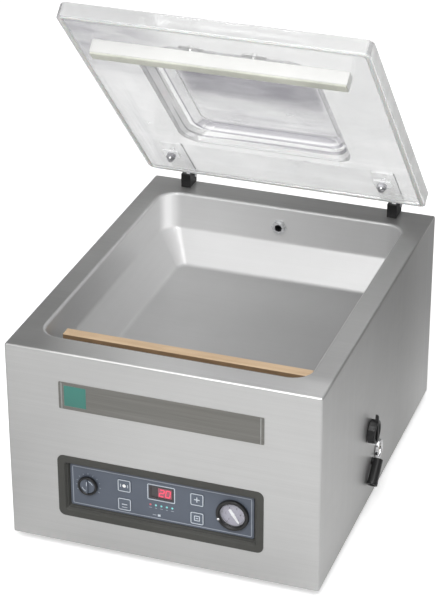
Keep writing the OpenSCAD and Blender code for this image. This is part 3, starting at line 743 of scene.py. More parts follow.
def lid_acrylic():
    """Clear moulded lid, darker in patches and lines, with a painted shade crease and a painted
    glow (emission) at its rim and dome walls.
    """
    mat = Material("acrylic_clear")
    add, sub, mul, biggest = mat.add, mat.sub, mat.mul, mat.max
    wobble = mat.noise(scale=16.0, detail=2, distort=0.6)
    fine = mat.noise(scale=90.0, detail=2)
    haze = mat.noise(scale=9.0, rough=0.55)
    mat.set(IOR=1.49, Transmission_Weight=1.0,
            Roughness=mat.remap(haze, MIDDLE, to=(0.015, 0.06)),
            Normal=mat.bump(add(mul(wobble, 1.0), mul(fine, 0.03)), depth_mm=0.8, strength=0.45))
    closed = mat.closed_lid_place()
    x, y, z = mat.axes(closed)

    # fades along an axis between two places in mm: straight, or eased at both ends
    def ramp(value, start, end, to=(0, 1)):
        return mat.remap(value, (start * MM, end * MM), to)

    def soft(value, start, end, to=(0, 1)):
        return mat.ease(value, (start * MM, end * MM), to)

    # darker over the middle of the dome roof, strongest towards the front
    roof = soft(z, LID_Z + 20, LID_Z + 30)
    front = soft(y, LID_FRONT + 238, LID_FRONT + 300, to=(1.0, 0.22))
    middle = soft(mat.abs(x), 92, 112, to=(1, 0.15))
    band = mat.noise(rough=0.55, stretch=(9, 30, 30), distort=0.8)
    darkening_and_painted_shade = mul(mul(roof, front), mul(middle, mat.remap(band, MIDDLE, to=(0.55, 1.0))))
    # dark lines that run round the dome wall
    wall = mul(soft(z, LID_Z + 1, LID_Z + 4), soft(z, LID_Z + 20, LID_Z + 21.5, to=(1, 0)))
    off_centre = mat.abs(x)
    zone = mul(ramp(off_centre, 147, 151, to=(1, 0)),
               mul(ramp(y, LID_FRONT + 72, LID_FRONT + 76),
                   ramp(y, LID_REAR - 116, LID_REAR - 112, to=(1, 0))))
    wall = mul(wall, zone)
    lines = mat.noise(detail=2, rough=0.55, stretch=(1.5, 1.5, 210), place=closed)
    lines = mul(wall, mat.ease(lines, (0.48, 0.52)))
    # painted shade: a dark crease at the rear edge of the roof
    painted_crease_shade = mul(soft(y, LID_REAR - 146, LID_REAR - 139),
                 soft(y, LID_REAR - 134, LID_REAR - 131, to=(1, 0)))
    painted_crease_shade = mul(mul(painted_crease_shade, soft(z, LID_Z + 22, LID_Z + 26)), 1.0)
    darkening_and_painted_shade = biggest(biggest(darkening_and_painted_shade, lines), painted_crease_shade)
    # darker at the front left corner, fainter over the rest
    corner = mul(soft(y, LID_FRONT + 60, LID_FRONT + 230, to=(1, 0)), soft(x, -160, -30, to=(1, 0)))
    cloud = mat.noise(rough=0.55, stretch=(14, 34, 34), place=closed, distort=0.6)
    patch_darkening = add(mul(corner, 0.42), add(0.10, mul(roof, 0.16)))
    darkening_and_painted_shade = biggest(darkening_and_painted_shade, mul(patch_darkening, mat.remap(cloud, (0.35, 0.65), to=(0.5, 1.5))))
    # darker streaks along the two long sides
    flow = mat.noise(rough=0.55, stretch=(75, 2.2, 4), place=closed, distort=0.25)
    sides = add(soft(x, -135, -105, to=(0.34, 0.0)), soft(x, 150, 180, to=(0.0, 0.16)))
    darkening_and_painted_shade = biggest(darkening_and_painted_shade, mul(mat.ease(flow, (0.49, 0.60)), sides))
    # the front and side edges stay clearer
    rim = biggest(ramp(y, LID_FRONT + 0.5, LID_FRONT + 2.5, to=(1, 0)),
                  ramp(off_centre, LID_X - 2.5, LID_X - 0.5))
    darkening_and_painted_shade = mul(darkening_and_painted_shade, sub(1.0, mul(rim, 0.75)))
    mat.set(Base_Color=mat.mix(darkening_and_painted_shade, (0.958, 0.962, 0.96, 1), (0.38, 0.37, 0.41, 1)))
    # a milky part that scatters light to both sides
    tone = mat.mix(darkening_and_painted_shade, (0.93, 0.935, 0.93, 1), (0.25, 0.245, 0.27, 1))
    milk = mat.mix_shader(0.5, *(mat.node(kind, {"Color": tone}).outputs[0] for kind in
                                 ("ShaderNodeBsdfTranslucent", "ShaderNodeBsdfDiffuse")))
    # rear part of the dome wall: milkier, and given a painted glow below
    back = mul(ramp(y, LID_REAR - 140, LID_REAR - 135),
               soft(y, LID_REAR - 118, LID_REAR - 110, to=(1, 0)))
    back = mul(back, soft(off_centre, 100, 135, to=(1, 0.2)))
    body = biggest(mul(rim, 0.5), mul(biggest(mul(back, 0.6), mul(wall, 0.4)), 0.5))
    # painted glow (emission) on the thick edge and on the dome walls
    painted_rim_glow = mul(rim, mat.remap(cloud, (0.35, 0.65), to=(0.07, 0.17)))
    painted_wall_glow = biggest(mul(back, 0.18), mul(mul(wall, sub(1.0, lines)), 0.12))
    mat.set(Emission_Color=WHITE, Emission_Strength=add(painted_rim_glow, painted_wall_glow))
    milkiness = biggest(mat.remap(haze, MIDDLE, to=(0.14, 0.26)), body)
    mat.pass_shadows(mat.mix_shader(milkiness, mat.shader.outputs[0], milk), share=0.72)


def badge_plate():
    mat = Material("plate_brushed_dark")
    fine = mat.streaks(along=8, across=900, detail=4, rough=0.6)
    wide = mat.streaks(along=3, across=120)
    slow = mat.noise(scale=10.0, detail=2)
    grain = mat.remap(mat.add(mat.mul(fine, 0.5), mat.mul(wide, 0.5)), MIDDLE)
    colour = mat.mix(grain, rgb(108, 107, 103), rgb(134, 133, 129))
    colour = mat.mix(mat.mul(mat.remap(slow, MIDDLE), 0.3), colour, rgb(118, 116, 110))
    mat.set(Base_Color=mat.mix(mat.edge(radius_mm=0.5, most=0.5), colour, rgb(200, 200, 198)),
            Metallic=0.45, Roughness=mat.add(0.40, mat.mul(wide, 0.14)),
            Normal=mat.bump(fine, depth_mm=0.02, strength=0.4))


cabinet_steel()
basin_steel()
brushed("steel_rear", grey(0.55), rough=0.4, grain=0.9, shift=5.0)
brushed("aluminium_bar", grey(0.72), rough=0.38, grain=0.8, shift=8.0)
hinge_arm_steel()
washer_steel()

# name, linear colour, roughness
METALS = (
    ("steel_base", grey(0.50), 0.42),
    ("chrome_bright", (0.86, 0.86, 0.87, 1), 0.10),
    ("zinc_plated", (0.70, 0.71, 0.72, 1), 0.28),
    ("cap_nut_dark_chrome", (0.50, 0.50, 0.52, 1), 0.12),
    ("ground_steel", grey(0.62), 0.22),
    ("brass_valve", (0.70, 0.52, 0.24, 1), 0.28),
    ("plate_band_bright", (0.42, 0.42, 0.41, 1), 0.38),
)
for name, colour, rough in METALS:
    metal(name, colour, rough)

# name, sRGB colour, roughness, grain mm, bump mm, tone drift, edge wear, other settings
PLASTICS = (
    ("black_plastic", (24, 24, 25), 0.36, 0.5, 0.015, 0.2, 0.35, dict(edge_colour=grey(0.10))),
    ("black_satin", (12, 12, 13), 0.42, 0.7, 0.02, 0.2, 0.5,
     dict(edge_colour=(0.12, 0.12, 0.125, 1), specular=0.35)),
    ("bezel_grey", (68, 68, 65), 0.50, 0.8, 0.03, 0.08, 0.35,
     dict(edge_colour=(0.14, 0.14, 0.135, 1), specular=0.3)),
    ("membrane_slate", (90, 97, 109), 0.42, 0.4, 0.012, 0.07, 0.0, dict(specular=0.4)),
    ("key_slate", (92, 100, 112), 0.40, 0.4, 0.012, 0.07, 0.3,
     dict(edge_colour=rgb(150, 158, 168), specular=0.4)),
    ("print_pale", (205, 212, 220), 0.5, 0.4, 0.01, 0.10, 0.0, {}),
    ("print_grey", (160, 166, 176), 0.5, 0.4, 0.01, 0.10, 0.0, {}),
    ("display_dark", (62, 58, 60), 0.22, 0.3, 0.006, 0.10, 0.0, dict(coat=0.3)),
    ("dial_pale", (164, 161, 173), 0.5, 0.4, 0.01, 0.06, 0.0, {}),
    ("dial_marks", (46, 42, 56), 0.5, 0.4, 0.01, 0.10, 0.0, {}),
    ("needle_white", (245, 245, 245), 0.4, 0.4, 0.008, 0.03, 0.0, {}),
    ("bar_white", (222, 222, 220), 0.46, 0.8, 0.02, 0.03, 0.0, {}),
    ("silicone_olive", (208, 209, 198), 0.62, 0.35, 0.02, 0.18, 0.12, {}),
    ("phenolic_brown", (86, 58, 38), 0.5, 0.5, 0.02, 0.2, 0.2, {}),
    ("foot_rubber", (30, 30, 30), 0.62, 0.35, 0.02, 0.18, 0.12, {}),
    ("hose_rubber", (38, 38, 40), 0.62, 0.35, 0.02, 0.18, 0.12, {}),
    ("pump_iron", (118, 122, 128), 0.5, 1.4, 0.12, 0.15, 0.4, {}),
    ("oil_case", (128, 132, 138), 0.48, 1.2, 0.10, 0.15, 0.4, {}),
    ("motor_grey", (92, 96, 102), 0.45, 1.0, 0.06, 0.15, 0.4, {}),
    ("board_green", (30, 92, 52), 0.4, 0.6, 0.02, 0.2, 0.2, {}),
    ("transformer_core", (104, 92, 78), 0.5, 0.6, 0.05, 0.2, 0.3, {}),
    ("filter_shell", (178, 178, 172), 0.5, 0.8, 0.04, 0.1, 0.2, {}),
    ("accent_green", (58, 120, 110), 0.42, 0.5, 0.012, 0.08, 0.1, {}),
)
for name, levels, rough, grain_mm, bump_mm, tone, edge, others in PLASTICS:
    plastic(name, rgb(*levels), rough, grain_mm, bump_mm, tone, edge, **others)

gasket = plastic("gasket_silicone", rgb(214, 216, 214), rough=0.5, grain_mm=0.5, bump_mm=0.02,
                 tone=0.05, edge=0.0)
gasket.set(Subsurface_Weight=0.15, Subsurface_Scale=0.003)
seal_tape()
lid_acrylic()
clear_glass("gauge_glass_clear", tint=(0.95, 0.96, 0.97, 1))
clear_glass("oil_glass_amber", tint=(0.90, 0.84, 0.62, 1), rough=0.05)
glow("digit_red", light=(0.95, 0.12, 0.20, 1), power=0.55, base=rgb(225, 70, 95))
glow("display_red", light=(0.60, 0.16, 0.22, 1), power=0.16, base=rgb(150, 90, 102))
glow("led_teal", light=(0.35, 0.95, 0.95, 1), power=0.20, base=rgb(120, 190, 190),
     first_lamp=(rgb(170, 90, 96), (0.9, 0.16, 0.2, 1)))
badge_plate()


# ------------------------------------------------------------------ cabinet and chamber
def make_cabinet():
    """Sheet shell, open below, with holes for the chamber, panel, fittings and rear cover."""
    low, high = HOUSING_LOW, HOUSING_HIGH

    def at_base(item):
        return all(abs(v.co.z - SHELL_BASE_Z * MM) < 1e-6 for v in item.verts)

    bm = bmesh.new()
    bmesh.ops.create_cube(bm, size=1.0)
    for v in bm.verts:
        for i in range(3):
            v.co[i] = (low[i] if v.co[i] < 0 else high[i]) * MM
    bmesh.ops.bevel(bm, geom=[e for e in bm.edges if not at_base(e)], offset=3.0 * MM,
                    segments=6, profile=0.5, affect="EDGES")
    bmesh.ops.delete(bm, geom=[f for f in bm.faces if at_base(f)], context="FACES")
    bmesh.ops.recalc_face_normals(bm, faces=bm.faces)
    mesh = bpy.data.meshes.new("cabinet_shell")
    bm.to_mesh(mesh)
    bm.free()
    mesh.materials.append(FINISH["steel_brushed"])
    shell = link_object("cabinet_shell", mesh)
    thicken(shell, smooth=32)
    opening = round_rect(-OPENING_X - LIP_BEND, OPENING_X + LIP_BEND, OPENING_FRONT - LIP_BEND,
                         OPENING_REAR + LIP_BEND, OPENING_RADIUS + LIP_BEND, 12)
    panel = round_rect(*xz_bounds(BEZEL_LOW, BEZEL_HIGH, 3), 6, 6)
    rear = round_rect(low[0] + 20, high[0] - 20, SHELL_BASE_Z + 10, DECK_Z - 18, 4, 3)
    cutters = [extrude("z", opening, (DECK_Z - 12, DECK_Z + 6)),
               extrude("y", panel, (FRONT_Y - 5, FRONT_Y + 5))]
    for centre, radius in ((FILLER, 12.0), (SIGHT, 13.5), (DRAIN, 6.0)):
        cutters.append(extrude("x", circle(centre, radius, 40), (SIDE_X - 5, SIDE_X + 5)))
    cutters.append(extrude("y", rear, (REAR_Y - 8, REAR_Y + 8)))
    cut(shell, cutters, smooth=30)
    weight_normals(shell, 80)
    attach(shell, "housing_shell")


def make_basin():
    """Pressed chamber: bend from the deck, upright wall, sloped foot and flat floor."""
    profile = []            # (inset from the opening, z)
    for i in range(9):
        a = math.radians(90 - 90 * i / 8)
        profile.append((-LIP_BEND + LIP_BEND * math.cos(a),
                        DECK_Z - LIP_BEND + LIP_BEND * math.sin(a)))
    wall = [(0, DECK_Z - LIP_BEND), (0, PAN_FLOOR_Z + 47.0), (36, PAN_FLOOR_Z), (70, PAN_FLOOR_Z)]
    profile += fillet(wall, [11, 9], 7)[1:]
    rings = []
    for o, z in profile:
        if o <= 0:
            radius = OPENING_RADIUS - o
        elif o <= 45:
            radius = OPENING_RADIUS - 15 * min(o, 36) / 36.0
        else:
            radius = 12
        outline = round_rect(-OPENING_X + o, OPENING_X - o, OPENING_FRONT + o, OPENING_REAR - o,
                             radius, 12)
        rings.append([(x, y, z) for x, y in outline])
    basin = make_object("chamber_basin", loft(rings, cap_start=False), ["steel_satin_pressed"],
                        smooth=60)
    # the floor has to face up, so that the sheet thickens outwards
    bm = bmesh.new()
    bm.from_mesh(basin.data)
    bm.normal_update()
    if max(bm.faces, key=lambda face: face.calc_area()).normal.z < 0:
        bmesh.ops.reverse_faces(bm, faces=bm.faces)
    bm.to_mesh(basin.data)
    bm.free()
    thicken(basin, smooth=60)
    cutters = [extrude("y", circle((-5, DECK_Z - 32), 8, 32), (OPENING_REAR - 6, OPENING_REAR + 6))]
    for x in (-120, 120):
        cutters.append(extrude("z", circle((x, BAR_Y), 4, 24), (PAN_FLOOR_Z - 5, PAN_FLOOR_Z + 5)))
    cut(basin, cutters, smooth=60)
    weight_normals(basin, 90)
    attach(basin, "chamber_pan")


# ------------------------------------------------------------------ lid
def lid_outline(inset, z, radius, steps):
    outline = round_rect(-LID_X + inset, LID_X - inset, LID_FRONT + inset, LID_REAR - inset,
                         radius, steps)
    return [(x, y, z) for x, y in outline]


def make_lid():
    """Thick clear plate with a dome; lofted from inside the dome, round the rim, to its top."""
    dome_x, dome_front, dome_rear = 131.0, LID_FRONT + 92, LID_REAR - 131
    wall_run = 25           # insets up to here are the sloped dome wall
    side_run, front_run, rear_run = 26.0, 16.0, 4.0     # true run of the wall on each side
    roof_in, roof_out = 30.0, 38
    dome_skin = 8.0         # the outside outline is larger by this much

    def run(o, length):
        if o < 0:
            return o
        return o * length / 25.0 if o <= wall_run else length + (o - wall_run)

    def dome_ring(o, height, radius, grow=0.0):
        side = dome_x + grow - run(o, side_run)
        if o >= 0:
            radius -= 4 * min(o, wall_run) / wall_run
        outline = round_rect(-side, side, dome_front - grow + run(o, front_run),
                             dome_rear + grow - run(o, rear_run), radius, 10)
        return [(x, y, LID_Z + height) for x, y in outline]

    # (inset, height above the plate's underside)
    inside = fillet([(-16, 0), (0, 0), (25, roof_in), (60, roof_in)], [5, 11], 7)
    outside = fillet([(-16, LID_PLATE), (14.5, LID_PLATE), (25, roof_out), (60, roof_out)],
                     [5, 9], 7)
    # groove for the seal, from its inner edge out: inset from the rim, height, corner radius
    groove = ((9.1, 0, 5), (8.7, 0.15, 5), (8.5, 0.5, 5), (8.5, 2.0, 5), (2.5, 2.0, 9.5),
              (2.5, 0.5, 9.5), (2.3, 0.1, 9.7), (1.6, 0, 10.4))
    rings = [dome_ring(o, height, 30) for o, height in reversed(inside)]
    rings += [lid_outline(o, LID_Z + height, radius, 10) for o, height, radius in groove]
    for k in range(4):      # lower edge of the rim, 1 mm round
        a = math.radians(90 * k / 3)
        rings.append(lid_outline(1.0 - math.sin(a), LID_Z + 1.0 - math.cos(a),
                                 11 + math.sin(a), 10))
    for k in range(7):      # upper edge of the rim, 3 mm round
        a = math.radians(90 * k / 6)
        rings.append(lid_outline(3.0 - 3.0 * math.cos(a),
                                 LID_Z + LID_PLATE - 3.0 + 3.0 * math.sin(a),
                                 9 + 3 * math.cos(a), 10))
    rings += [dome_ring(o, height, 34, dome_skin) for o, height in outside]
    lid = make_object("lid_clear", loft(rings), ["acrylic_clear"], smooth=40, transform=OPEN_LID)
    holes = [((side * x, y), radius)
             for x, y, radius in ((HINGE_BOLT_X, HINGE_BOLT_Y, 3.2), (COUNTER_SCREW_X, BAR_Y, 2.7))
             for side in (-1, 1)]
    cut(lid, [extrude("z", circle(centre, radius, 24), (LID_Z - 5, LID_Z + LID_PLATE + 5))
              for centre, radius in holes], smooth=40, transform=OPEN_LID)
    weight_normals(lid, 80)
    attach(lid, "lid_shell", body="lid")


def make_gasket():
    # cord section: inset from the rim, height from the plate's underside
    section = ((2.6, 1.95), (8.4, 1.95), (8.4, 0.2), (7.6, -0.7), (6.4, -1.15), (5.5, -1.25),
               (4.6, -1.15), (3.4, -0.7), (2.6, 0.2))
    rings = [lid_outline(o, LID_Z + height, max(12 - o, 3.6), 8) for o, height in section]
    build("lid_seal_cord", loft(rings, loop=True), ["gasket_silicone"], "gasket_silicone",
          "lid_gasket", body="lid", smooth=50, transform=OPEN_LID)


def make_counter_bar():
    low, high = COUNTER_LOW, COUNTER_HIGH
    xs = [low[0], low[0] + 0.8]
    xs += [low[0] + 1.6 + (high[0] - low[0] - 3.2) * k / 24 for k in range(25)]
    xs += [high[0] - 0.8, high[0]]
    insets = [0.8, 0.2] + [0.0] * 25 + [0.2, 0.8]       # rounded ends
    rings = [[(x, y, z) for y, z in round_rect(low[1] + o, high[1] - o, low[2] + o,
                                               LID_Z - 0.02, 1.1, 3)]
             for x, o in zip(xs, insets)]
    build("counter_bar_white", loft(rings), ["bar_white"], "white_plastic", "counter_bar_holder",
          body="lid", transform=OPEN_LID)
    low, high = closed_box("counter_bar_silicone")
    section = fillet([(low[1], high[2]), (low[1], low[2] + 0.9), (low[1] + 1.6, low[2]),
                      (0.5 * (low[1] + high[1]), low[2]), (high[1] - 1.6, low[2]),
                      (high[1], low[2] + 0.9), (high[1], high[2])],
                     [0.4, 0.6, 0, 0.6, 0.4], 2)
    xs = [low[0] + (high[0] - low[0]) * k / 40 for k in range(41)]
    build("counter_bar_pad", extrude("x", section, xs), ["silicone_olive"], "silicone_olive",
          "counter_bar_silicone", body="lid", transform=OPEN_LID)


# ------------------------------------------------------------------ sealing bar
def make_seal_bar():
    low, high = cad_box("seal_bar_body")
    xs = [low[0] + 0.5 + (high[0] - low[0] - 1) * k / 16 for k in range(17)]
    section = round_rect(low[1], high[1], low[2], high[2], 0.8, 3)
    build("seal_bar_rail", extrude("x", section, [low[0]] + xs + [high[0]]), ["aluminium_bar"],
          "bar_aluminium", "seal_bar_body", body="seal_bar")
    low, high = cad_box("seal_bar_insulator")
    section = round_rect(low[1], high[1], low[2], high[2] - 0.02, 0.5, 3)
    build("seal_bar_backing", extrude("x", section, (low[0], high[0])), ["phenolic_brown"],
          "phenolic", "seal_bar_insulator", body="seal_bar")


def make_seal_tape():
    """Tape folded over the bar; its sides ripple and its lower edge is uneven."""
    low, high = cad_box("seal_tape")
    thickness = 0.45
    steps = 72
    (y0, z0), (y1, z1) = low[1:], high[1:]
    outer = fillet([(y0, z0), (y0, z1), (y1, z1), (y1, z0)], [1.3, 1.3], 5)
    inner = fillet([(y1 - thickness, z0), (y1 - thickness, z1 - thickness),
                    (y0 + thickness, z1 - thickness), (y0 + thickness, z0)], [0.8, 0.8], 5)
    rings = []
    for k in range(steps + 1):
        x = low[0] + (high[0] - low[0]) * k / steps
        sag = abs(0.05 * math.sin(x * 0.19))
        ragged = 0.5 * abs(math.sin(x * 0.045 + 0.6))
        ring = []
        for y, z in outer + inner:
            new_y = y
            if abs(y - BAR_Y) > 7:      # the hanging sides
                ripple = 0.10 * math.sin(x * 0.11 + y) + 0.07 * math.sin(x * 0.31 + 1.7 * y + 2.0)
                new_y += ripple * max(0.0, min(1.0, (z1 - z) / (z1 - z0)))
            if abs(y - y0) < 1e-6 or abs(y - y1) < 1e-6:
                new_y = min(max(new_y, y0), y1)
            ring.append((x, new_y, z - sag + (ragged if z <= z0 + 0.01 else 0)))
        rings.append(ring)
    build("seal_tape_wrap", loft(rings), ["tape_ptfe"], "tape_tan", "seal_tape", body="seal_bar",
          smooth=45)


# ------------------------------------------------------------------ name plate
def make_plate():
    low, high = cad_box("name_plate")
    accent_low, accent_high = cad_box("name_plate_accent")
    accent = xz_bounds(accent_low, accent_high)
    face, accent_face = low[1], accent_low[1]
    recess = accent_face + 0.6
    stations = ((0, FRONT_Y), (0, face + 0.35), (0.12, face + 0.12), (0.35, face))
    rings = panel_rings(xz_bounds(low, high), stations, 1.6, 4)
    badge = make_object("name_badge", loft(rings), ["plate_brushed_dark"])
    cut(badge, [extrude("y", round_rect(*accent, 0.3, 2), (face - 2, recess))], smooth=30)
    attach(badge, "name_plate")
    x0, x1, z0, z1 = xz_bounds(accent_low, accent_high, 0.05)
    build("name_badge_square", soft_box(x0, x1, accent_face, recess, z0, z1, 0.15, 2, 0.3),
          ["accent_green"], "accent_green", "name_plate_accent")
    bands = [(soft_box(x0, x1, face - 0.12, face + 0.2, low[2] + 0.8, high[2] - 0.8, 0.08, 1, 0.2),
              0) for x0, x1 in ((low[0] + 3.2, low[0] + 5.4), (high[0] - 5.2, high[0] - 3.8))]
    build("name_badge_bands", merge(bands), ["plate_band_bright"], "plate_grey")


# ------------------------------------------------------------------ control panel
def make_bezel():
    # section from the cabinet face over the rim and down to the sheet: (inset, y)
    stations = fillet([(0, FRONT_Y), (0, BEZEL_LOW[1]), (10.2, BEZEL_LOW[1] + 0.1),
                       (15.4, PANEL_Y + 1.5), (15.4, PANEL_Y + 4)], [0.9, 1.3, 0.6], 4)
    stations += [(13.4, PANEL_Y + 4), (13.4, FRONT_Y + 3), (3.4, FRONT_Y + 3), (3.4, FRONT_Y)]
    rings = panel_rings(xz_bounds(BEZEL_LOW, BEZEL_HIGH), stations, 9.5, 10, shrink=0.55,
                        least=2.2)
    build("control_frame", loft(rings, loop=True), ["bezel_grey"], "bezel_grey", "control_bezel",
          smooth=28)


def make_membrane():
    """Keypad sheet with openings for the keys, display, knob, gauge and lamps."""
    stations = ((0.3, SHEET_HIGH[1]), (0, SHEET_HIGH[1] - 0.3), (0, PANEL_Y + 0.25),
                (0.2, PANEL_Y))
    rings = panel_rings(xz_bounds(SHEET_LOW, SHEET_HIGH), stations, 2.8, 4)
    sheet = make_object("keypad_sheet", loft(rings), ["membrane_slate"])
    openings = [round_rect(*xz_bounds(low, high, -0.3), 3, 4) for low, high in KEYS.values()]
    openings.append(round_rect(*xz_bounds(DISPLAY_LOW, DISPLAY_HIGH, -0.1), 1.5, 3))
    openings += [circle(KNOB, 4.5, 32), circle(GAUGE, GAUGE_RADIUS - 2, 64)]
    openings += [circle((x, BEZEL_Z - 9), 1.56, 20) for x in LAMP_XS]
    cut(sheet, [extrude("y", outline, (PANEL_Y - 2, PANEL_Y + 6)) for outline in openings],
        smooth=30)
    attach(sheet, "membrane_panel")


def make_print():
    """Printed lines, a hair proud of the sheet."""
    grey_ink, pale_ink = 0, 1
    depth = (PANEL_Y - 0.14, PANEL_Y + 0.05)
    border = (SHEET_LOW[0] + 3.0, SHEET_HIGH[0] - 3.0, SHEET_LOW[2] + 2.6, SHEET_HIGH[2] - 2.6)
    parts = [(raised_frame(border, 2.0, 1.15, *depth), grey_ink),
             (raised_frame(xz_bounds(DISPLAY_LOW, DISPLAY_HIGH, -2.2), 2.0, 1.1, *depth),
              pale_ink)]
    for k in range(11):     # scale round the knob
        outer = 18.4 if k % 5 else 19.2
        mark = tick(KNOB, math.radians(-120 + 240 * k / 10 + 90), 16.3, outer, 0.35)
        parts.append((raised_pad(mark, *depth, 0.05), grey_ink))
    for x, width in zip(LAMP_XS, (4.2, 3.0, 4.2, 3.0, 4.2)):     # dashes under the lamps
        dash = rect(x - width / 2, x + width / 2, BEZEL_Z - 14.1, BEZEL_Z - 13.3)
        parts.append((raised_pad(dash, *depth, 0.05), grey_ink))
    square = rect(BEZEL_X - 5.5, BEZEL_X - 1.5, BEZEL_Z - 26.5, BEZEL_Z - 23.0)
    low_dash = rect(BEZEL_X - 13, BEZEL_X - 7.5, BEZEL_Z - 25.4, BEZEL_Z - 24.2)
    parts += [(raised_pad(square, *depth, 0.1), pale_ink),
              (raised_pad(low_dash, *depth, 0.1), grey_ink)]
    build("keypad_print", merge(parts), ["print_grey", "print_pale"], "needle_white")


# bars of each key's sign, from the key's centre: x0, x1, z0, z1
KEY_BARS = {
    "program": ((-5.7, -4.7, -2.4, 2.4), (4.7, 5.7, -2.4, 2.4)),
    "minus": ((-4, 4, -0.7, 0.7), (-4, 4, -5.0, -4.2)),
    "plus": ((-4, 4, -0.7, 0.7), (-0.7, 0.7, -4, -0.7), (-0.7, 0.7, 0.7, 4)),
    "stop": ((-1.8, 1.8, -0.6, 0.6),),
}


def make_key(node):
    low, high = KEYS[node]
    sign = node.split("_")[1]
    centre = xz_centre(low, high)
    cx, cz = centre
    half = (high[0] - low[0]) / 2
    top = PANEL_Y - 0.8
    stations = ((0.0, PANEL_Y + 2.4), (0.0, top + 0.55), (0.12, top + 0.25), (0.45, top + 0.05),
                (1.0, top), (2.6, top + 0.12), (5.5, top), (8.0, top - 0.05))
    cap = loft(panel_rings(square_bounds(centre, half), stations, 2.8, 6, shrink=0.5, least=0.7))
    stem = extrude("y", circle(centre, 3.0, 28), (PANEL_Y + 2.4, PANEL_Y + 6.0))
    base = top + 0.14
    outline = raised_frame(square_bounds(centre, half - 0.7), 2.4, 1.1, top - 0.22, base)
    depth = (top - 0.20, base)
    parts = [(cap, 0), (stem, 0), (outline, 1)]
    if sign == "program":
        parts.append((raised_pad(circle(centre, 2.6, 24), *depth), 2))
    if sign == "stop":
        parts.append((raised_frame(square_bounds(centre, 4.2), 0.9, 1.1, *depth), 1))
    for x0, x1, z0, z1 in KEY_BARS[sign]:
        parts.append((raised_pad(rect(cx + x0, cx + x1, cz + z0, cz + z1), *depth), 1))
    build(node + "_cap", merge(parts), ["key_slate", "print_pale", "needle_white"], "key_slate",
          node, body=sign + "_key", smooth=40)


def make_knob():
    x, z = KNOB
    back, face = PANEL_Y - 0.4, PANEL_Y - 5.5
    blade_top = PANEL_Y - 7
    steps = 120

    def flute(radius, y, angle):
        if radius > 13.2 and face + 0.9 < y < back - 0.3:
            return radius - 0.35 * (0.5 + 0.5 * math.cos(angle * 30))
        return radius

    # (radius, y): black skirt, then the slate disc inside it
    skirt = [(13.6, back), (14.1, back - 0.2), (14.5, back - 0.7), (14.5, back - 2.4),
             (14.4, face + 1.2), (14.1, face + 0.5), (13.5, face + 0.1), (12.7, face),
             (12.0, face + 0.15), (11.4, face + 0.6), (11.2, face + 1.3)]
    disc = [(10.8, face + 1.65), (9.5, face + 1.7), (4.0, face + 1.6), (0.6, face + 1.55)]
    black, slate, pale = 0, 1, 2
    indices = [black] * steps * len(skirt) + [slate] * steps * (len(disc) - 1) + [black, slate]
    blade = [(x - 1.5, z - 9.6), (x + 1.5, z - 9.6), (x + 1.1, z + 9.6), (x - 1.1, z + 9.6)]
    blade_rings = [[(px, y, pz) for px, pz in blade] for y in (face + 1.8, blade_top + 0.5)]
    blade_rings.append([(x + (px - x) * 0.7, blade_top, z + (pz - z) * 0.97)
                        for px, pz in blade])
    pointer = rect(x - 0.45, x + 0.45, z + 2.0, z + 8.8)
    parts = [(turned("y", KNOB, skirt + disc, steps, flute), indices),
             (extrude("y", circle(KNOB, 3.0, 32), (back - 0.2, PANEL_Y + 10)), black),
             (loft(blade_rings), slate),
             (raised_pad(pointer, blade_top - 0.05, blade_top + 0.1, 0.05), pale)]
    # two pale arcs on the disc: corners of their section as (radius, y)
    arc_section = [(8.6, face + 1.48), (7.7, face + 1.48), (7.7, face + 1.75), (8.6, face + 1.75)]
    for start in (200, 20):
        angles = [math.radians(start + 60 * k / 8) for k in range(9)]
        parts.append((loft([[(x + r * math.cos(a), y, z + r * math.sin(a))
                             for r, y in arc_section] for a in angles]), pale))
    build("knob_round", merge(parts), ["black_plastic", "membrane_slate", "print_pale"],
          "black_plastic", "main_knob", body="knob", smooth=40)


# ------------------------------------------------------------------ gauge
DIAL_RADIUS = GAUGE_RADIUS - 5.6
DIAL_Y = PANEL_Y + 1.0
DIAL_START, DIAL_SWEEP = 236, 292      # degrees, the scale runs clockwise


def make_gauge_case():
    r, y = GAUGE_RADIUS, PANEL_Y
    ring = fillet([(r - 2.3, y + 1.0), (r - 2.3, y - 0.02), (r, y - 0.02), (r, y - 5),
                   (r - 3.6, y - 5), (r - 5.5, y - 2.4), (r - 5.5, y + 1.0)],
                  [0, 0.3, 1.6, 0.8, 0.6], 5)
    sleeve = [(r - 5.5, y + 2.2), (r - 5.5, y + 9.9), (r - 2.3, y + 9.9), (r - 2.3, y + 2.2)]
    can = fillet([(r - 2.4, y + 9.9), (r - 2.4, y + 24), (5, y + 24), (5, y + 36)], [1.5, 1.0], 4)
    parts = [(turned("y", GAUGE, ring, 96, loop=True), 0),
             (turned("y", GAUGE, sleeve, 64, loop=True), 0),
             (turned("y", GAUGE, can, 64), 0)]
    build("gauge_ring", merge(parts), ["black_plastic"], "black_plastic", "gauge_case", smooth=35)


def make_dial():
    disc = [(DIAL_RADIUS, PANEL_Y + 2), (DIAL_RADIUS, DIAL_Y + 0.1), (DIAL_RADIUS - 0.15, DIAL_Y),
            (3.0, DIAL_Y), (1.35, DIAL_Y)]
    parts = [(turned("y", GAUGE, disc, 96), 0)]
    outer = DIAL_RADIUS - 0.9
    for k in range(41):
        length, half_width = (1.6, 0.20) if k % 8 else (3.0, 0.40)
        mark = tick(GAUGE, math.radians(DIAL_START - DIAL_SWEEP * k / 40), outer - length, outer,
                    half_width)
        parts.append((raised_pad(mark, DIAL_Y - 0.08, DIAL_Y + 0.05, 0.03), 1))
    build("gauge_face", merge(parts), ["dial_pale", "dial_marks"], "dial_pale", "gauge_dial")
    for k in range(6):
        make_dial_number(k)


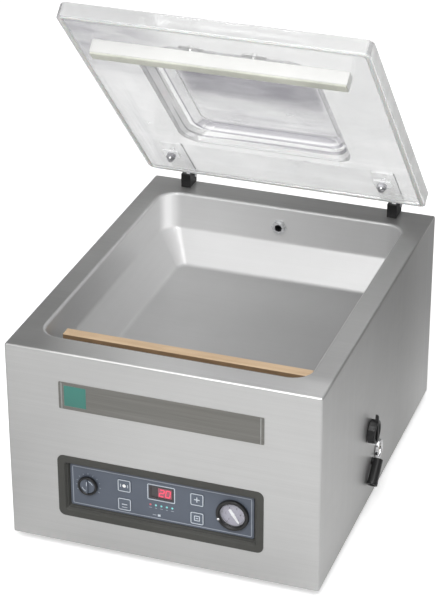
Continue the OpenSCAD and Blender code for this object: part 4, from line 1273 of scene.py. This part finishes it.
def make_dial_number(k):
    name = "dial_number_%d" % k
    font = bpy.data.curves.new(name, "FONT")
    font.body = str(k * 2)
    font.size = 4.2 * MM
    font.extrude = 0.05 * MM
    font.align_x = "CENTER"
    font.align_y = "CENTER"
    text = link_object(name + "_c", font)
    bpy.context.view_layer.update()
    graph = bpy.context.evaluated_depsgraph_get()
    mesh = bpy.data.meshes.new_from_object(text.evaluated_get(graph))
    bpy.data.objects.remove(text)
    bpy.data.curves.remove(font)
    a = math.radians(DIAL_START - DIAL_SWEEP * k / 5)
    place = Vector((GAUGE[0] + 10.6 * math.cos(a), DIAL_Y - 0.04, GAUGE[1] + 10.6 * math.sin(a)))
    mesh.transform(Matrix.Translation(place * MM) @ Matrix.Rotation(math.radians(90), 4, "X"))
    mesh.materials.clear()
    mesh.materials.append(FINISH["dial_marks"])
    attach(link_object(name, mesh))


def make_gauge_lens():
    r, y = DIAL_RADIUS, PANEL_Y
    # (radius, y): over the domed face, round the edge and back along the inside
    profile = [(0.3, y - 4.1), (r * 0.4, y - 3.95), (r * 0.75, y - 3.65), (r - 0.5, y - 3.25),
               (r - 0.02, y - 3.0), (r - 0.02, y - 2.2), (r - 0.6, y - 2.35),
               (r * 0.75, y - 2.8), (r * 0.4, y - 3.1), (0.3, y - 3.3)]
    build("gauge_lens", turned("y", GAUGE, profile, 64), ["gauge_glass_clear"], "clear_glass",
          "gauge_glass", smooth=60)


def make_needle():
    """Thick tail and thin tip, turned so that the tip points to the lower right."""
    turn = math.radians(34)
    # (x, z) with the tip down
    outline = [(-1.9, 8.4), (-0.9, 9.2), (0.9, 9.2), (1.9, 8.4), (2.3, 0.5), (2.2, -2.0),
               (1.15, -14.4), (0.0, -15.5), (-1.15, -14.4), (-2.2, -2.0), (-2.3, 0.5)]

    def ring(y, x_scale=1.0, z_scale=1.0):
        points = [(x * x_scale, z * z_scale) for x, z in outline]
        return [(GAUGE[0] + x * math.cos(turn) - z * math.sin(turn), y,
                 GAUGE[1] + x * math.sin(turn) + z * math.cos(turn)) for x, z in points]

    y = PANEL_Y
    hub = [(2.6, y + 0.35), (2.7, y - 0.2), (2.4, y - 0.65), (1.4, y - 0.95), (0.3, y - 1.05)]
    parts = [(loft([ring(y + 0.28), ring(y - 0.22), ring(y - 0.42, 0.62, 0.97)]), 0),
             (turned("y", GAUGE, hub, 36), 0),
             (extrude("y", circle(GAUGE, 1.0, 24), (y + 0.3, y + 9.5)), 0)]
    build("gauge_pointer", merge(parts), ["needle_white"], "needle_white", "gauge_needle",
          body="needle", smooth=35)


def make_stop_pin():
    low, high = cad_box("gauge_stop_pin")
    tip = low[1]
    profile = [(2.0, PANEL_Y - 4.6), (2.0, tip + 0.7), (1.75, tip + 0.25), (1.1, tip + 0.03),
               (0.2, tip)]
    build("gauge_pin", turned("y", xz_centre(low, high), profile, 32), ["chrome_bright"],
          "chrome", "gauge_stop_pin", smooth=60)


# ------------------------------------------------------------------ display
# ends of the seven segments, in half widths and half heights of a digit
SEGMENTS = {
    "a": ((-1, 1), (1, 1)), "b": ((1, 1), (1, 0)), "c": ((1, 0), (1, -1)),
    "d": ((-1, -1), (1, -1)), "e": ((-1, 0), (-1, -1)), "f": ((-1, 1), (-1, 0)),
    "g": ((-1, 0), (1, 0)),
}


def segment(start, end, half_width=0.75):
    """Six-sided bar pointed at both ends."""
    (x0, z0), (x1, z1) = start, end
    along = Vector((x1 - x0, z1 - z0))
    along.normalize()
    d, n = along * half_width, Vector((-along.y, along.x)) * half_width
    return [start, (x0 + d.x + n.x, z0 + d.y + n.y), (x1 - d.x + n.x, z1 - d.y + n.y),
            end, (x1 - d.x - n.x, z1 - d.y - n.y), (x0 + d.x - n.x, z0 + d.y - n.y)]


def make_display():
    low, high = DISPLAY_LOW, DISPLAY_HIGH
    face = low[1]
    stations = ((0, high[1]), (0, face + 0.3), (0.3, face), (2.4, face + 0.05),
                (2.9, face + 1.2))
    rings = panel_rings(xz_bounds(low, high), stations, 1.4, 4, shrink=0.4, least=0.4)
    build("display_pane", loft(rings), ["display_dark"], "display_red", "display_window")
    lit_left, lit_right = low[0] + (high[0] - low[0]) * 0.36, high[0] - 3.1
    pane = soft_box(lit_left, lit_right, face + 0.9, face + 1.4, low[2] + 3.1, high[2] - 3.1,
                    0.15, 1, 0.6)
    build("display_filter", pane, ["display_red"], "display_red")
    half_width, half_height, slant = 3.1, 5.2, 0.12
    cz = (low[2] + high[2]) / 2
    parts = []
    for share, lit in ((0.28, "abged"), (0.74, "abcdef")):
        cx = lit_left + (lit_right - lit_left) * share
        for letter in lit:
            ends = [(cx + u * half_width + v * half_height * slant, cz + v * half_height)
                    for u, v in SEGMENTS[letter]]
            parts.append((raised_pad(segment(*ends), face + 0.35, face + 0.95, 0.1), 0))
    build("display_numbers", merge(parts), ["digit_red"], "digit_red", "display_digits")


# ------------------------------------------------------------------ right side fittings
def make_filler_cap():
    """Fluted round cap with an upright bar that reaches above it."""
    cy, cz = FILLER
    x = SIDE_X

    def flute(radius, along, angle):
        if radius > 16.4 and x + 2.0 < along < x + 10.9:
            return radius - 0.55 * (0.5 + 0.5 * math.cos(angle * 16))
        return radius

    # (radius, distance out from the cabinet side)
    profile = [(7, -25), (7, -2), (10.5, -2), (10.5, 0.8), (16.9, 0.8), (17.5, 1.6), (17.5, 2.4),
               (17.3, 10.2), (16.9, 11.4), (16.0, 12), (13.6, 12), (12.9, 11.6), (12.5, 10.9),
               (12.3, 9.4), (11.4, 9.0), (0.5, 9.0)]
    # bar: height from the cap's centre, half width, reach out from the cabinet side
    bar = ((-16, 2.2, 12.6), (-8, 2.2, 13), (0, 2.2, 13), (8, 2.2, 13), (16, 2.2, 13),
           (24, 2.1, 12.8), (26.5, 1.7, 12.2), (28, 0.8, 11.0))
    rings = []
    for z, w, reach in bar:
        out = x + reach
        section = [(x + 8.2, -w), (out - 0.8, -w), (out - 0.2, -w * 0.75), (out, -w * 0.4),
                   (out, w * 0.4), (out - 0.2, w * 0.75), (out - 0.8, w), (x + 8.2, w)]
        rings.append([(px, cy + py, cz + z) for px, py in section])
    cap = turned("x", FILLER, [(r, x + out) for r, out in profile], 96, flute)
    build("filler_cap", merge([(cap, 0), (loft(rings), 0)]), ["black_plastic"], "black_plastic",
          "oil_filler_plug", body="filler_plug", smooth=35)


def make_sight_glass():
    # (radius, distance out from the cabinet side)
    ring = [(12.8, -4), (12.8, 0.4), (14.6, 0.4), (15, 0.9), (15, 3.4), (14.4, 4.6), (13.6, 5.0),
            (12.2, 4.9), (11.0, 4.2), (10.5, 3.2), (10.5, -4)]
    window = [(10.4, -3.5), (10.4, 1.4), (9.4, 2.0), (5.5, 2.5), (0.3, 2.6)]
    ring, window = ([(r, SIDE_X + out) for r, out in rows] for rows in (ring, window))
    build("sight_ring", turned("x", SIGHT, ring, 64, loop=True), ["chrome_bright"], "chrome",
          "sight_glass_ring", smooth=35)
    build("sight_window", turned("x", SIGHT, window, 48), ["oil_glass_amber"], "oil_glass",
          "sight_glass", smooth=60)


# ------------------------------------------------------------------ frame pieces that stay
# piece, finish, edge bevel in mm (0 for none)
KEPT = (
    ("suction_port", "zinc_plated", 0.5), ("hinge_bases", "black_satin", 0.7),
    ("hinge_pins", "zinc_plated", 0.3), ("hinge_arms", "hinge_steel", 0.4),
    ("hinge_bolts", "zinc_plated", 0.3), ("hinge_washers", "washer_plated", 0.4),
    ("hinge_cap_nuts", "cap_nut_dark_chrome", 0.4), ("counter_bar_screws", "ground_steel", 0),
    ("seal_wires", "zinc_plated", 0), ("seal_bar_pistons", "ground_steel", 0),
    ("lift_cylinders", "zinc_plated", 0.5), ("drain_elbow", "black_plastic", 0.4),
    ("feet", "foot_rubber", 0.8), ("foot_screws", "zinc_plated", 0),
    ("base_plate", "steel_base", 0), ("rear_cover", "steel_rear", 0.25),
    ("rear_screws", "zinc_plated", 0.2), ("indicator_lights", "led_teal", 0.2),
    ("power_inlet", "black_plastic", 0.4), ("knob_switch", "black_plastic", 0),
    ("control_board", "board_green", 0), ("vacuum_hose", "hose_rubber", 0),
    ("pump_body", "pump_iron", 0), ("pump_oil_case", "oil_case", 0),
    ("pump_mounts", "foot_rubber", 0), ("pump_motor", "motor_grey", 0),
    ("motor_rotor", "ground_steel", 0), ("motor_fan", "black_plastic", 0),
    ("exhaust_filter", "filter_shell", 0), ("solenoid_valve", "brass_valve", 0),
    ("valve_plunger", "ground_steel", 0), ("transformer", "transformer_core", 0),
)


def finish_kept(node, finish, bevel_mm):
    obj = NODES[node]
    if not obj.data.materials:
        obj.data.materials.append(FINISH[finish])
    for slot in obj.material_slots:
        slot.link = "OBJECT"
        slot.material = FINISH[finish]
    if bevel_mm:
        weld = obj.modifiers.new("weld", "WELD")
        weld.merge_threshold = 1e-6
        bevel = obj.modifiers.new("soft_edge", "BEVEL")
        bevel.width = bevel_mm * MM
        bevel.segments = 2
        bevel.limit_method = "ANGLE"
        bevel.angle_limit = math.radians(35)


# ------------------------------------------------------------------ floor, light, camera (m)
def floor_finish():
    """Pale floor, bright to the camera; painted shadow patches on it darken only what reflections
    see.
    """
    mat = Material("floor_pale")
    patches = mat.noise(scale=3.0, detail=2)
    path = mat.node("ShaderNodeLightPath").outputs
    x, y, _ = mat.axes(mat.geometry["Position"])
    # painted shadow to the right, seen only by reflections
    right = mat.mul(mat.ease(x, (0.16, 0.30)), mat.ease(y, (-0.10, 0.70), to=(0.1, 1)))
    right = mat.mul(right, path["Is Glossy Ray"])
    pale = mat.mix(patches, grey(0.84), grey(0.88))
    # painted shadow patches at the front, seen only by reflections
    left = mat.mul(mat.ease(x, (-0.42, -0.10), to=(1, 0)),
                   mat.ease(y, (-0.75, -0.45), to=(0.1, 1)))
    near = mat.mul(mat.ease(x, (0.16, 0.24), to=(1, 0)), mat.ease(y, (-0.50, -0.33), to=(0, 0.38)))
    front = mat.mul(mat.max(left, near), mat.remap(y, (-0.31, -0.27), to=(1, 0)))
    pale = mat.mix(mat.mul(front, path["Is Glossy Ray"]), pale, grey(0.40))
    through = mat.min(path["Transmission Depth"], 1.0)
    mat.set(Base_Color=mat.mix(right, pale, grey(0.24)), Roughness=0.8, Specular_IOR_Level=0.1,
            Emission_Color=WHITE,
            Emission_Strength=mat.add(mat.mul(path["Is Camera Ray"], 0.50),
                                      mat.mul(through, 0.12)))


def make_floor(half=6.0):
    mesh = bpy.data.meshes.new("floor")
    corners = rect(-half, half, -half, half)
    mesh.from_pydata([(x, y, 0) for x, y in corners], [], [(0, 1, 2, 3)])
    floor = link_object("floor", mesh)
    floor_finish()
    mesh.materials.append(FINISH["floor_pale"])
    floor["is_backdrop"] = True


# name, place, aimed at, width, height, watts
LIGHTS = (
    ("key_soft", (0.15, -1.75, 1.95), (0, 0, 0.22), 1.1, 0.9, 25),
    ("side_soft", (1.45, -0.75, 2.3), (-0.1, 0.05, 0.25), 0.9, 0.9, 5),
    ("top_soft", (0.2, 0.1, 2.6), (0, 0, 0.2), 2.2, 2.2, 22),
)


def make_light(name, place, target, width, height, watts):
    light = bpy.data.lights.new(name, "AREA")
    light.shape = "RECTANGLE"
    light.size = width
    light.size_y = height
    light.energy = watts
    lamp = link_object(name, light)
    lamp.location = place
    lamp.rotation_euler = (Vector(target) - Vector(place)).to_track_quat("-Z", "Y").to_euler()


def make_world():
    """White to the camera and through clear pieces; an uneven grey studio to all other rays."""
    world = bpy.data.worlds.new("studio")
    bpy.context.scene.world = world
    sky = ShaderTree(world)
    direction = sky.node("ShaderNodeTexCoord").outputs["Generated"]
    path = sky.node("ShaderNodeLightPath").outputs

    def patch(toward, span, amount):
        """Soft patch of sky; span holds the cosines where it starts and is full."""
        facing = sky.dot(direction, Vector(toward).normalized())
        return sky.ease(facing, span, to=(0.0, amount))

    level = sky.add(0.60, 0.0)      # even base level
    level = sky.add(level, patch((-0.295, -0.657, 0.682), span=(0.80, 0.97), amount=0.85))
    level = sky.sub(level, patch((-0.25, 0.90, 0.42), span=(0.55, 0.98), amount=0.36))
    level = sky.sub(level, patch((1.0, 0.2, 0.0), span=(0.30, 0.95), amount=0.25))
    bounces = sky.add(path["Glossy Depth"], path["Diffuse Depth"])
    unbounced = sky.sub(1.0, sky.min(bounces, 1.0))
    through = sky.mul(sky.min(path["Transmission Depth"], 1.0), 0.82)
    seen = sky.max(sky.mul(path["Is Transmission Ray"], unbounced), through)
    seen = sky.max(path["Is Camera Ray"], seen)
    background = sky.node("ShaderNodeBackground", {"Strength": sky.mix_value(seen, level, 1.0)})
    sky.node("ShaderNodeOutputWorld", {"Surface": background.outputs[0]})


def make_camera():
    scene = bpy.context.scene
    scene.view_settings.view_transform = "Standard"
    scene.view_settings.look = "None"
    scene.view_settings.exposure = 0.0
    lens = bpy.data.cameras.new("photo_camera")
    lens.sensor_fit = "AUTO"
    lens.sensor_width = 36.0
    lens.lens = 133.7028
    lens.clip_start = 0.05
    lens.clip_end = 50
    camera = bpy.data.objects.new("photo_camera", lens)
    # radians: turn from straight ahead towards +X, height above level, roll
    azimuth, elevation, roll = 0.3401269700, 0.4876277946, -0.0019285699
    back = Vector((math.sin(azimuth) * math.cos(elevation),
                   -math.cos(azimuth) * math.cos(elevation), math.sin(elevation)))
    right = (-back).cross(Vector((0, 0, 1))).normalized()
    up = right.cross(-back)
    cos_roll, sin_roll = math.cos(roll), math.sin(roll)
    pose = Matrix((right * cos_roll + up * sin_roll, up * cos_roll - right * sin_roll,
                   back)).transposed().to_4x4()
    pose.translation = Vector((0.92679, -2.66792, 1.77305))
    camera.matrix_world = pose
    scene.collection.objects.link(camera)
    scene.camera = camera


# ------------------------------------------------------------------ build everything
for make in (make_cabinet, make_basin, make_lid, make_gasket, make_counter_bar, make_seal_bar,
             make_seal_tape, make_plate, make_bezel, make_membrane, make_print):
    make()
for key in KEYS:
    make_key(key)
for make in (make_knob, make_gauge_case, make_dial, make_gauge_lens, make_needle, make_stop_pin,
             make_display, make_filler_cap, make_sight_glass):
    make()
for row in KEPT:
    finish_kept(*row)
make_floor()
for row in LIGHTS:
    make_light(*row)
make_world()
make_camera()


def plain(value):
    """Plain lists, dicts and floats, for JSON."""
    if isinstance(value, dict):
        return {k: plain(v) for k, v in value.items()}
    if hasattr(value, "__len__"):
        return [plain(v) for v in value]
    return float(value)


bpy.context.view_layer.update()
{"cad": plain(CAD_BOUNDS), "visual": plain(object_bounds())}
